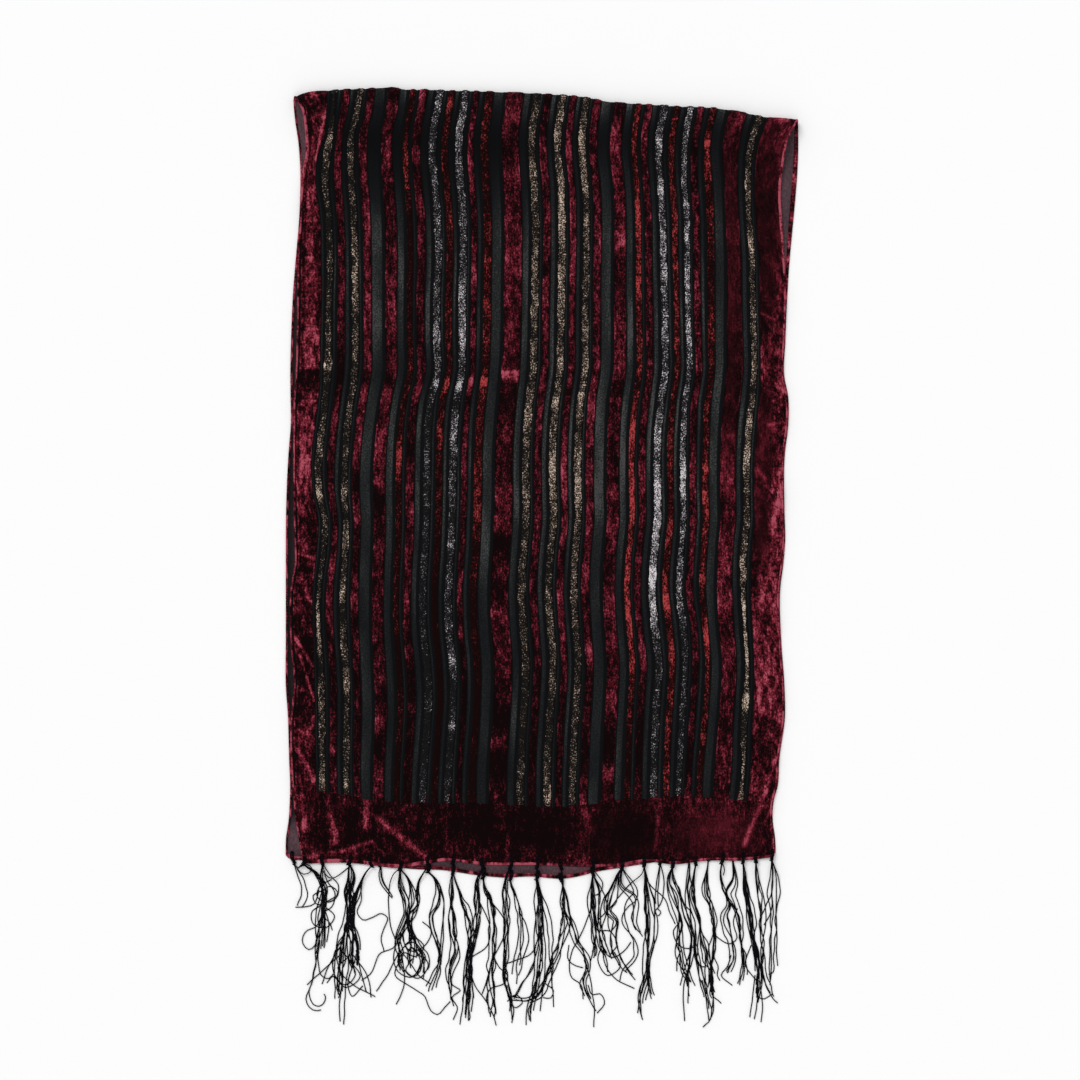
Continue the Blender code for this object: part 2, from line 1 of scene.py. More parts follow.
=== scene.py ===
import bpy
import numpy as np
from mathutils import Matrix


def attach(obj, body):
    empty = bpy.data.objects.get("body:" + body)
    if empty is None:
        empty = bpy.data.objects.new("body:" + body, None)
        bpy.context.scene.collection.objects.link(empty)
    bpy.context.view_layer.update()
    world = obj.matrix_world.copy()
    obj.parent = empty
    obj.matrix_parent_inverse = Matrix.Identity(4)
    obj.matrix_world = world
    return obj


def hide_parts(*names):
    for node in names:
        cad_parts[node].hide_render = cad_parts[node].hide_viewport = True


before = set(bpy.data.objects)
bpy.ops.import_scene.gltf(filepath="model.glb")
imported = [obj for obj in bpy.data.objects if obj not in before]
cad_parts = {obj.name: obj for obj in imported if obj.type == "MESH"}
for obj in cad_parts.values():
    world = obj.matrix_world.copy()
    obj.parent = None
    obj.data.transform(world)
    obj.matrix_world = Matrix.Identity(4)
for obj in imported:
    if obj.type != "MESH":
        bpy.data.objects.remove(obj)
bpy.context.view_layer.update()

# View, floor and light
# The photograph looks straight down on the scarf, whose fold is at the top. One of its 1080 pixels
# is one millimetre of cloth, so the camera sees 1.08 m from 3 m above. The studio light is soft.
# Places are in millimetres across and down from its upper left corner, and the origin's are here.
MM = 0.001
PHOTO_WIDTH = 1080.0
MIDDLE_ACROSS = 542.0
MIDDLE_DOWN = 557.75
CAMERA_HEIGHT = 3.0
SENSOR_WIDTH = 36.0
camera_data = bpy.data.cameras.new("camera")
camera_data.sensor_width = SENSOR_WIDTH
camera_data.lens = SENSOR_WIDTH * CAMERA_HEIGHT / (PHOTO_WIDTH * MM)
camera = bpy.data.objects.new("camera", camera_data)
camera.location = (
    (PHOTO_WIDTH / 2 - MIDDLE_ACROSS) * MM, (MIDDLE_DOWN - PHOTO_WIDTH / 2) * MM, CAMERA_HEIGHT)
bpy.context.scene.collection.objects.link(camera)
bpy.context.scene.camera = camera
bpy.context.scene.view_settings.view_transform = "Standard"

world = bpy.data.worlds.new("studio")
world.use_nodes = True
world.node_tree.nodes["Background"].inputs["Color"].default_value = (1.0, 1.0, 1.0, 1.0)
world.node_tree.nodes["Background"].inputs["Strength"].default_value = 0.76
bpy.context.scene.world = world
key_data = bpy.data.lights.new("window_light", "SUN")
key_data.energy = 1.2
key_data.angle = 0.5
key = bpy.data.objects.new("window_light", key_data)
key.rotation_euler = (-0.62, -0.5, 0.0)
bpy.context.scene.collection.objects.link(key)


class Wire:
    """A socket of a finish. Sums on it add Math nodes, so that shader maths reads as maths."""

    def __init__(self, finish, socket):
        self.finish = finish
        self.socket = socket

    def __add__(self, other):
        return self.finish.maths("ADD", self, other)

    __radd__ = __add__

    def __sub__(self, other):
        return self.finish.maths("SUBTRACT", self, other)

    def __rsub__(self, other):
        return self.finish.maths("SUBTRACT", other, self)

    def __mul__(self, other):
        return self.finish.maths("MULTIPLY", self, other)

    __rmul__ = __mul__


class Finish:
    """A material in the making: a Principled shader, and the nodes that lead to it."""

    def __init__(self, name, roughness=0.9, specular=0.08, sheen=0.0, sheen_tint=(1, 1, 1)):
        self.material = bpy.data.materials.new(name)
        self.material.use_nodes = True
        self.tree = self.material.node_tree
        self.shader = self.tree.nodes["Principled BSDF"]
        self.shader.inputs["Roughness"].default_value = roughness
        self.shader.inputs["Specular IOR Level"].default_value = specular
        self.shader.inputs["Sheen Weight"].default_value = sheen
        self.shader.inputs["Sheen Roughness"].default_value = 0.4
        self.shader.inputs["Sheen Tint"].default_value = (*sheen_tint, 1.0)

    def add(self, kind, sockets, output=0, stops=(), **settings):
        """A node of any kind, with its settings made before its sockets are filled or linked."""
        node = self.tree.nodes.new("ShaderNode" + kind)
        for setting, value in settings.items():
            setattr(node, setting, value)
        if stops:
            ramp = node.color_ramp
            while len(ramp.elements) < len(stops):
                ramp.elements.new(0.5)
            for element, (place, colour) in zip(ramp.elements, stops):
                element.position = place
                element.color = (*colour, 1.0)
        for name, value in sockets.items():
            self.feed(node.inputs[name], value)
        return Wire(self, node.outputs[output])

    def feed(self, socket, value):
        """Link a wire to a socket, or set the socket to a plain value."""
        if isinstance(value, Wire):
            self.tree.links.new(value.socket, socket)
        else:
            socket.default_value = value

    def maths(self, operation, first, second):
        """The Math node of one operation on two wires or numbers."""
        return self.add("Math", {0: first, 1: second}, operation=operation)

    def on_cloth(self, across, along):
        """The cloth's own coordinates, as so many pattern steps to a metre each way."""
        uv = self.add("UVMap", {}, uv_map="cloth")
        return self.add("Mapping", {"Vector": uv, "Scale": (across, along, 1.0)})

    def noise(self, across, along, detail=3.0):
        """Noise from 0 to 1 on the cloth, with so many steps to a metre each way."""
        return self.add("TexNoise", {"Vector": self.on_cloth(across, along), "Scale": 1.0,
                                     "Detail": detail})

    def end(self, colour, bump, depth):
        """Give the shader its colour and a bump of so many metres."""
        normal = self.add("Bump", {"Height": bump, "Distance": depth, "Strength": 1.0})
        self.feed(self.shader.inputs["Base Color"], colour)
        self.feed(self.shader.inputs["Normal"], normal)
        return self.material


def put(name, points, faces, materials, uv=None, values=None, slots=None):
    """A mesh piece at the origin. points are in metres, and faces are arrays of corner indexes.

    uv holds each point's place on the cloth, values named numbers for each point, and slots
    each face's material.
    """
    mesh = bpy.data.meshes.new(name)
    mesh.vertices.add(len(points))
    mesh.vertices.foreach_set("co", np.ascontiguousarray(points, dtype=np.float32).ravel())
    corners = np.concatenate([group.ravel() for group in faces])
    sizes = np.concatenate([np.full(len(group), group.shape[1]) for group in faces])
    mesh.loops.add(len(corners))
    mesh.loops.foreach_set("vertex_index", corners.astype(np.int32))
    mesh.polygons.add(len(sizes))
    mesh.polygons.foreach_set("loop_start", (np.cumsum(sizes) - sizes).astype(np.int32))
    mesh.polygons.foreach_set("use_smooth", np.ones(len(sizes), dtype=bool))
    for material in materials:
        mesh.materials.append(material)
    if slots is not None:
        mesh.polygons.foreach_set("material_index", slots.astype(np.int32))
    mesh.update(calc_edges=True)
    if uv is not None:
        layer = mesh.uv_layers.new(name="cloth")
        layer.data.foreach_set("uv", uv[corners].astype(np.float32).ravel())
    for label, numbers in (values or {}).items():
        attribute = mesh.attributes.new(label, "FLOAT", "POINT")
        attribute.data.foreach_set("value", numbers.astype(np.float32))
    piece = bpy.data.objects.new(name, mesh)
    bpy.context.scene.collection.objects.link(piece)
    return piece


def grid_faces(rows, columns, closed=False):
    """Quads between neighbours on a grid, facing +Z where rows run to -Y and columns to +X."""
    last = columns if closed else columns - 1
    row, column = np.meshgrid(np.arange(rows - 1), np.arange(last), indexing="ij")
    start = (row * columns + column).ravel()
    beside = (row * columns + (column + 1) % columns).ravel()
    return np.stack([start, start + columns, beside + columns, beside], axis=1)


floor_finish = Finish("pale_floor", roughness=0.95)
floor_finish.feed(floor_finish.shader.inputs["Base Color"], (0.95, 0.95, 0.95, 1.0))
FLOOR_HALF = 6.0
floor_corners = np.array([(-1, 1), (1, 1), (-1, -1), (1, -1)]) * FLOOR_HALF
floor = put("floor", np.column_stack([floor_corners, np.zeros(4)]), [grid_faces(2, 2)],
            [floor_finish.material])

# Ground cloth
# One length of thin black satin chiffon, 0.50 by 1.54 m, which carries the velvet pile. It is
# folded once across at the top, pile outwards, so the lower half shows its grey wrong side at
# the edges. Between the stripes its pile is burnt out, and the bare ground shows.
GROUND_WALL = 0.5

# Heights of the lower and the upper stretch over the floor, and how far from the fold's turn the
# upper one has settled
GROUND_REST = 1.0
FRONT_REST = 2.35
SETTLED_AT = 78.0
FOLD_LINE = {
    "across": (294, 301, 311, 325, 345, 368, 390, 399, 406, 428, 448, 470, 500, 530, 556, 584,
               608, 632, 656, 680, 700, 716, 728, 740, 752, 764, 782, 797),
    "down": (97.4, 94.8, 92.3, 91, 89.4, 88.6, 87.5, 88.3, 89.4, 89.6, 90.6, 91, 92, 93.2, 94.6, 97,
             101.6, 103.6, 105, 106.6, 107.2, 108.3, 110, 112, 114.4, 117, 118.8, 120),
}
BAND_LINE = {
    "across": (296, 345, 366, 391, 423, 484, 530, 573, 621, 652, 673, 707, 751, 772),
    "down": (790, 793.6, 798, 800, 802, 802, 805, 805, 798, 797, 795, 796, 800, 801),
}
FRONT_HEM = {
    "across": (303, 349, 378, 395, 428, 446, 478, 530, 622, 651, 669, 709, 743, 774),
    "down": (860.7, 860, 863, 865, 861, 859, 863, 863.6, 864, 860, 862.5, 859, 859, 855.5),
}
BACK_HEM = {
    "across": (287, 289, 294, 310, 349, 385, 403, 446, 478, 505, 530, 565, 580, 593, 622, 660,
               774.6),
    "down": (854, 856.5, 858, 858.5, 859, 863, 866.5, 869, 873.8, 876, 875, 877, 874.5, 871, 866, 860,
             853),
}
ROLL_RADIUS = {"across": (294, 420, 640, 797), "down": (5.2, 4.6, 5.4, 6.2)}
EDGE_COLUMNS = ("down", "front_left", "front_right", "back_left", "back_right")
EDGES = (
    (90, 295.0, 796.6, 294.0, 797.0),
    (97, 296.0, 796.6, 294.4, 797.0),
    (110, 303.5, 796.6, 295.2, 797.0),
    (122, 306.0, 795.5, 296.5, 797.0),
    (132, 307.0, 790.0, 298.0, 797.0),
    (141, 307.5, 786.0, 299.4, 797.0),
    (155, 307.3, 783.0, 300.7, 796.8),
    (168, 304.5, 781.0, 301.4, 796.3),
    (193, 302.2, 779.0, 301.4, 794.5),
    (223, 301.0, 780.6, 300.0, 791.8),
    (258, 299.0, 783.0, 297.0, 788.5),
    (297, 298.4, 784.6, 294.0, 786.0),
    (340, 297.8, 783.2, 292.2, 784.2),
    (378, 296.6, 782.3, 291.5, 783.3),
    (395, 295.2, 785.6, 291.7, 786.7),
    (425, 294.6, 786.0, 291.9, 787.0),
    (452, 294.4, 782.8, 289.8, 783.8),
    (515, 295.0, 782.4, 287.2, 783.4),
    (538, 295.5, 783.0, 287.0, 784.0),
    (561, 296.0, 781.4, 287.0, 782.4),
    (589, 291.8, 778.0, 287.0, 779.0),
    (640, 291.5, 779.0, 287.0, 780.0),
    (686, 295.0, 782.2, 287.0, 783.2),
    (715, 292.0, 782.8, 289.0, 783.8),
    (760, 292.0, 777.0, 290.3, 778.0),
    (786, 293.5, 775.4, 291.3, 776.4),
    (800, 294.7, 771.6, 291.0, 772.6),
    (820, 296.5, 770.5, 289.8, 771.5),
    (838, 299.8, 772.8, 287.2, 773.8),
    (861, 303.5, 773.6, 287.0, 774.6),
)

# Rest places across of the two side edges, and of the edges of each pile band between them
EDGE_RESTS = (295.0, 782.4)
BANDS = (
    (296.9, 314.0, "burgundy"),
    (318.2, 325.2, "gold"),
    (329.6, 336.4, "burgundy"),
    (342.8, 349.2, "gold"),
    (353.6, 360.8, "burgundy"),
    (374.4, 386.0, "burgundy"),
    (396.2, 402.2, "red"),
    (406.2, 414.4, "burgundy"),
    (423.0, 430.6, "silver"),
    (435.4, 442.2, "dark_red"),
    (448.8, 456.6, "silver"),
    (461.2, 467.0, "burgundy"),
    (473.8, 481.8, "dark_red"),
    (494.8, 512.6, "burgundy"),
    (522.4, 530.0, "gold"),
    (534.0, 541.2, "burgundy"),
    (549.2, 556.8, "gold"),
    (561.2, 567.8, "burgundy"),
    (574.8, 582.0, "gold"),
    (586.0, 594.0, "burgundy"),
    (607.4, 619.2, "burgundy"),
    (629.0, 634.8, "red"),
    (638.8, 645.4, "burgundy"),
    (653.4, 660.8, "silver"),
    (666.6, 672.9, "red"),
    (679.6, 685.8, "silver"),
    (689.4, 696.0, "burgundy"),
    (702.0, 708.3, "red"),
    (719.8, 735.2, "burgundy"),
    (743.2, 749.8, "gold"),
    (754.2, 782.6, "burgundy"),
)

# How far twelve threads stray sideways from their rest places on the way down, in mm
STRAY_COLUMNS = (314.0, 321.8, 346.0, 368.0, 426.6, 488.2, 553.1, 601.2, 657.1, 692.5, 714.2, 746.5)
STRAY_ROWS = (
    (92, (14, 13, 15, 14, 14, 12, 11, 8.5, 8.5, 8.5, 12, 17)),
    (112, (13, 11, 12, 12, 10.5, 10, 7.5, 5.5, 6, 7.5, 8, 13.5)),
    (135, (11, 8.5, 5.5, 7, 6.5, 7, 5, 3, 2, 3, 2.5, 6.5)),
    (155, (4, 6, 4.5, 7, 5.5, 7, 5, 2.5, 1.5, 1, 2, 2.5)),
    (180, (1.5, 4, 5.5, 8, 7.5, 8, 7.5, 5.5, 3, 1, 4.5, 1)),
    (215, (6, 7, 8, 10, 10.5, 9.5, 9, 7, 5.5, 3, 6, 2)),
    (260, (7, 8.5, 9, 11, 11.5, 9.5, 9, 6.5, 6.5, 3.5, 7, 5.5)),
    (300, (7.5, 7, 9.5, 11, 10, 9, 8, 6, 7.5, 4, 7, 6)),
    (340, (6.5, 6.5, 10, 11, 10, 8.5, 7.5, 6.5, 8, 5, 6.5, 7.5)),
    (372, (6, 6, 9, 11, 11, 6.5, 7, 5.5, 8, 6, 6, 8)),
    (400, (4.5, 3.5, 5, 6.5, 4, 4, 3, 1.5, 4.5, 1.5, 3, 5.5)),
    (430, (0.5, 0, 1.5, 2, 1, 1.5, 0.5, 0, 1, 0.5, 1, 2)),
    (465, (-2.5, -3.5, -1, -1, 0.5, 0, -0.5, -1, 0, 0, 0, 0)),
    (493, (-1, -2, -1.5, -1.5, 0, 0, 0, -1, 0.5, 0, 0, 0)),
    (520, (4.5, 3, 0.5, -0.5, -0.5, -1, 0.5, -0.5, 0.5, 0.5, 0.5, 0)),
    (547, (3, 2.5, -0.5, -1, -1.5, -2, -2, -3, -2.5, -1, -1.5, -3)),
    (588, (-1, -3, -3, -2, -4, -4.5, -4.5, -5, -5, -3.5, -3, -3.5)),
    (630, (-1, -3.5, -2.5, -2, -3.5, -3.5, -2, -3, -2, 2, -1, -1.5)),
    (662, (0, -1, -0.5, -1, 0, -1, 0, -1, 1.5, 3, 2, 0.5)),
    (700, (1, 0, 1, 0.5, 2, -1.5, -2, -2, -0.5, 1, 0.5, -1)),
    (730, (1, 0.5, 0.5, 0.5, 0, -3, -4, -4, -2, -1, -2, -3)),
    (765, (2, 0, 0.5, -1, -2.5, -5.5, -5.5, -5.5, -3, -3.5, -5.5, -3)),
    (798, (2, 0.5, 1.5, -1, -4.5, -6, -6, -7, -3.5, -5, -7.5, -6)),
)

# Creases as soft ridges from one place to another, with height and half width, then how much
# painted highlight the pile gets along the ridge
CREASES = (
    (296, 371, 430, 372, 1.4, 6, 0.0),
    (430, 374, 540, 371, 1.5, 6, 0.0),
    (540, 368, 780, 366, 1.2, 8, 0.0),
    (296, 638, 313, 665, 1.3, 2.6, 0.6),
    (300, 655, 315, 701, 1.0, 1.8, 0.6),
    (301, 574, 311, 602, 1.0, 3.2, 0.42),
    (298, 748, 316, 779, 1.2, 3.0, 0.5),
    (302, 786, 304, 832, 0.7, 1.6, 0.3),
    (305, 821, 304, 827, 0.9, 4.5, 0.4),
    (331, 816, 338, 842, 0.9, 4.0, 0.46),
    (367, 799, 366, 828, 0.8, 4.5, 0.5),
    (379, 819, 425, 856, 1.6, 4.5, 0.52),
    (300, 858, 342, 851, 0.8, 2.8, 0.4),
    (342, 851, 372, 841, 1.0, 2.6, 0.5),
    (372, 841, 384, 853, 0.9, 2.6, 0.28),
    (448, 800, 445, 846, 0.7, 3.5, 0.2),
    (497, 796, 503, 826, 0.8, 6.0, 0.25),
    (484, 856, 502, 843, 0.7, 2.2, 0.25),
    (580, 806, 592, 830, 0.7, 8.0, 0.2),
    (660, 800, 655, 850, 1.0, 2.6, 0.3),
    (777, 757, 766, 790, 1.3, 3.5, 0.35),
    (766, 790, 744, 844, 1.3, 3.4, 0.46),
    (773, 802, 764, 824, 0.6, 2.0, 0.3),
    (766, 727, 780, 749, 1.0, 2.4, 0.3),
    (770, 714, 779, 722, 0.8, 2.4, 0.22),
    (762, 578, 762, 602, 0.8, 3.5, 0.3),
    (770, 594, 779, 631, 1.1, 3.2, 0.36),
    (760, 626, 766, 652, 0.9, 4.5, 0.3),
    (757, 660, 758, 708, 0.6, 4.5, 0.25),
    (764, 660, 770, 706, 0.7, 2.4, 0.22),
    (769, 345, 775, 353, 0.8, 5.5, 0.3),
    (770, 379, 783, 392, 1.1, 2.2, 0.32),
    (769, 425, 784, 422, 1.0, 2.4, 0.35),
    (779, 474, 781, 503, 1.0, 3.4, 0.4),
    (779, 490, 771, 534, 1.0, 3.6, 0.36),
    (757, 470, 765, 478, 0.6, 2.6, 0.22),
    (771, 566, 773, 583, 0.7, 4.0, 0.26),
    (759, 313, 775, 320, 0.9, 1.6, 0.36),
    (772, 262, 783, 290, 0.7, 2.4, 0.22),
    (299, 541, 309, 537, 0.7, 1.8, 0.3),
    (296, 553, 314, 558, 0.9, 1.6, 0.42),
    (329, 100, 316, 160, 0.6, 1.8, 0.6),
)
RIPPLE_HEIGHT = 0.9
RIPPLE_LENGTH = 96.0
RIPPLE_REACH = 20.0


def bell(at, middle, half_width):
    """1 at the middle, and falling as a bell curve to 0.37 half_width to either side."""
    return np.exp(-(((at - middle) / half_width) ** 2))


def ease(share):
    """A share from 0 to 1, made slow at both ends: three squares less two cubes."""
    return share * share * (3 - 2 * share)


def smooth_line(places, values, at):
    """A smooth curve through values at places: cubic pieces with the neighbours' mean slope."""
    places = np.asarray(places, dtype=float)
    values = np.asarray(values, dtype=float)
    slopes = np.gradient(values, places)
    cell = np.clip(np.searchsorted(places, at) - 1, 0, len(places) - 2)
    width = places[cell + 1] - places[cell]
    t = np.clip((at - places[cell]) / width, 0.0, 1.0)
    start = (2 * t ** 3 - 3 * t ** 2 + 1) * values[cell]
    start += (t ** 3 - 2 * t ** 2 + t) * width * slopes[cell]
    end = (3 * t ** 2 - 2 * t ** 3) * values[cell + 1]
    return start + end + (t ** 3 - t ** 2) * width * slopes[cell + 1]


def line_down(line, across):
    """How far down a line that runs across the scarf lies."""
    return smooth_line(line["across"], line["down"], across)


def edge_across(name, down):
    """Where a side edge of the front or the back lies across the scarf."""
    table = np.array(EDGES)
    return smooth_line(table[:, 0], table[:, EDGE_COLUMNS.index(name)], down)


def across_at(rest, down, front):
    """Where a lengthwise thread lies: its rest place, moved with the edges and stray stripes.

    front is 1 on the upper stretch, 0 on the lower one, and between the two on the fold.
    """
    downs = [row[0] for row in STRAY_ROWS]
    strays = np.array([row[1] for row in STRAY_ROWS])
    rests = [EDGE_RESTS[0], *STRAY_COLUMNS, EDGE_RESTS[1]]
    now = [place + smooth_line(downs, strays[:, i], down) for i, place in enumerate(STRAY_COLUMNS)]
    left, right = (
        front * edge_across("front_" + side, down) + (1 - front) * edge_across("back_" + side, down)
        for side in ("left", "right"))
    now = [left, *now, right]
    across = now[0] + (rest - rests[0])
    for i in range(len(rests) - 1):
        share = (rest - rests[i]) / (rests[i + 1] - rests[i])
        inside = (rest >= rests[i]) & (rest <= rests[i + 1])
        across = np.where(inside, now[i] + share * (now[i + 1] - now[i]), across)
    return np.where(rest > rests[-1], now[-1] + (rest - rests[-1]), across)


def near_line(across, down, line, half_width):
    """1 on the line from (x1, y1) to (x2, y2), falling as a bell curve to either side and end."""
    run = np.array([line[2] - line[0], line[3] - line[1]], dtype=float)
    share = ((across - line[0]) * run[0] + (down - line[1]) * run[1]) / (run @ run)
    share = np.clip(share, 0.0, 1.0)
    away = np.hypot(across - line[0] - run[0] * share, down - line[1] - run[1] * share)
    return bell(away, 0.0, half_width)


def crease_lift(across, down):
    """How far creases and the ripples of the side edges lift the upper stretch."""
    lift = np.zeros_like(across)
    for *line, height, half_width, _ in CREASES:
        lift += height * near_line(across, down, line, half_width)
    for side in ("front_left", "front_right"):
        away = np.abs(across - edge_across(side, down))
        wave = 0.5 + 0.5 * np.sin(2 * np.pi * down / RIPPLE_LENGTH)
        lift += RIPPLE_HEIGHT * wave * np.exp(-away / RIPPLE_REACH)
    return lift


def cloth_point(rest, along, lift):
    """Places across, down and up on the folded cloth, and lift mm off it on its pile side.

    along is -2 at the back hem, -1 to 0 round the fold's roll, 1 where the stripes end, and 2
    at the front hem. rest is the thread's place across 515 mm down.
    """
    across = rest
    front = ease(np.clip(along + 1.0, 0.0, 1.0))
    turn = (np.clip(along, -1.0, 0.0) + 0.5) * np.pi
    for _ in range(2):
        radius = smooth_line(ROLL_RADIUS["across"], ROLL_RADIUS["down"], across)
        top = line_down(FOLD_LINE, across) + radius
        band = line_down(BAND_LINE, across)
        hem = line_down(FRONT_HEM, across)
        back_hem = line_down(BACK_HEM, across)
        reach = radius - GROUND_REST + lift
        down = np.where(along > 1.0, band + (along - 1.0) * (hem - band), top + along * (band - top))
        down = np.where(along < 0.0, top - reach * np.cos(turn), down)
        down = np.where(along < -1.0, top - (along + 1.0) * (back_hem - top), down)
        across = across_at(rest, down, front)
    share = np.clip((down - top) / (SETTLED_AT - radius), 0.0, 1.0)
    settle = 0.5 + 0.5 * np.cos(np.pi * share)
    height = FRONT_REST + (2 * radius - GROUND_REST - FRONT_REST) * settle
    height += crease_lift(across, down) * (1.0 - settle) + lift
    height = np.where(along < 0.0, radius + reach * np.sin(turn), height)
    height = np.where(along < -1.0, GROUND_REST - lift, height)
    return across, down, height


def to_metres(across, down, height):
    """Points in metres about the origin from millimetres across, down and up."""
    return np.stack([(across - MIDDLE_ACROSS), (MIDDLE_DOWN - down), height], axis=-1) * MM


def cloth_uv(rest, down):
    """Each point's place on the cloth in metres: its thread's rest place and how far down it is."""
    return np.stack([rest * MM, down * MM], axis=-1).reshape(-1, 2)


LATTICE = (61, 251)


def random_field(seed, across, down, step_across, step_down):
    """Smooth random values from 0 to 1: a lattice of random numbers with eased blends between."""
    lattice = np.random.default_rng(seed).random(LATTICE)
    i, j = across / step_across, down / step_down
    low_i, low_j = np.floor(i).astype(int), np.floor(j).astype(int)
    s, t = ease(i - low_i), ease(j - low_j)
    corner = [[lattice[(low_i + a) % LATTICE[0], (low_j + b) % LATTICE[1]] for b in (0, 1)]
              for a in (0, 1)]
    first = corner[0][0] * (1 - t) + corner[0][1] * t
    second = corner[1][0] * (1 - t) + corner[1][1] * t
    return first * (1 - s) + second * s


def uneven(seed, across, down, step_across, step_down):
    """The same smooth random values about 0, from -0.5 to 0.5."""
    return random_field(seed, across, down, step_across, step_down) - 0.5


# How far apart the ground's columns are under wide pile, and how wide a channel's margins of
# painted shade beside the pile are, at most and as a share of the channel
COLUMN_STEP = 6.0
LEFT_MARGIN, LEFT_MARGIN_SHARE = 0.7, 0.09
RIGHT_MARGIN, RIGHT_MARGIN_SHARE = 2.6, 0.36


def ground_columns():
    """Threads of the ground that get a column of points: place, channel, role and gap.

    The channel is the number of the band on its left, or -1 under wide pile. Its roles are 1 and 4
    for its margins of painted shade, 2 and 3 for the edges of its middle of painted light. The gap is its
    width.
    """
    places = [(EDGE_RESTS[0], -1, 0, 0.0)]
    for index, (start, end, _) in enumerate(BANDS):
        inner = max(1, round((end - start) / COLUMN_STEP))
        places += [(place, -1, 0, 0.0) for place in np.linspace(start, end, inner + 1)[1:-1]]
        if index + 1 < len(BANDS):
            gap = BANDS[index + 1][0] - end
            rise = min(LEFT_MARGIN, LEFT_MARGIN_SHARE * gap)
            fall = gap - min(RIGHT_MARGIN, RIGHT_MARGIN_SHARE * gap)
            spots = (rise, rise + 0.8, max(fall - 1.0, rise + 0.9), fall)
            places += [(end + spot, index, role, gap) for role, spot in enumerate(spots, 1)]
    return np.array([*places, (EDGE_RESTS[1], -1, 0, 0.0)]).T


# Black chiffon: a fine crinkle runs down it, and its level attribute paints shade beside the pile, where it
# dips, and painted light along the channels
chiffon = Finish("burnt_out_ground", roughness=0.8, specular=0.05)
level = chiffon.add("Attribute", {}, output="Fac", attribute_name="level")
crinkle = chiffon.noise(620.0, 130.0, detail=2.0)
grain = chiffon.noise(700.0, 600.0, detail=3.0)
chiffon_painted_light = level * (crinkle * 0.8 + grain * 2.2 - 0.5)
chiffon_colour = chiffon.add("ValToRGB", {"Fac": chiffon_painted_light}, stops=(
    (0.0, (0.0020, 0.0022, 0.0026)),
    (0.3, (0.0066, 0.0071, 0.0080)),
    (0.6, (0.0160, 0.0170, 0.0172)),
    (1.0, (0.0540, 0.0550, 0.0540)),
))
chiffon_end = chiffon.end(chiffon_colour, crinkle, 0.0004)

# Grey wrong side: smooth, with a pink speckle of pile that shows through, and painted shade from its level
# attribute in the strip down its left edge
wrong = Finish("grey_wrong_side", roughness=0.85, specular=0.06)
speckle = wrong.noise(620.0, 300.0, detail=2.0)
clouds = wrong.noise(20.0, 12.0, detail=1.0)
painted_strip_shade = wrong.add("Attribute", {}, output="Fac", attribute_name="level")
wrong_colour = wrong.add("ValToRGB", {"Fac": painted_strip_shade * (speckle * 0.6 + clouds * 0.4)}, stops=(
    (0.0, (0.003, 0.003, 0.0035)),
    (0.3, (0.040, 0.028, 0.032)),
    (0.5, (0.078, 0.046, 0.054)),
    (0.7, (0.150, 0.070, 0.088)),
))
wrong_end = wrong.end(wrong_colour, speckle, 0.0002)

# How light the widest channels are painted on the way down, in the scarf's left half and its right half:
# painted highlight where they turn over the fold, then painted shade that is nearly black, grey in the
# middle and darker again below
CHANNEL_PAINTED_LIGHT = (
    (84, 0.9, 0.9),
    (92, 0.85, 0.85),
    (100, 0.6, 0.85),
    (108, 0.28, 0.66),
    (125, 0.08, 0.22),
    (170, 0.1, 0.28),
    (215, 0.4, 0.46),
    (260, 0.6, 0.6),
    (340, 0.48, 0.64),
    (374, 0.3, 0.6),
    (400, 0.48, 0.68),
    (500, 0.64, 0.62),
    (560, 0.52, 0.5),
    (600, 0.4, 0.4),
    (700, 0.38, 0.44),
    (800, 0.38, 0.42),
    (830, 0.34, 0.36),
)
LEFT_HALF_ENDS = 490.0
RIGHT_HALF_STARTS = 550.0
TURN_ENDS = 112.0

# Where along the cloth the wrong side shows, for its painted light and for its finish, and the strip
# of painted shade down its left edge: the strip's middle across, half width, ends and darkness
WRONG_LIGHT_FROM = -0.96
WRONG_SIDE_FROM = -0.95
STRIP_ACROSS = 289.0
STRIP_HALF_WIDTH = 16.0
STRIP_DOWN = (205.0, 828.0)
STRIP_PAINTED_SHADE = 0.96


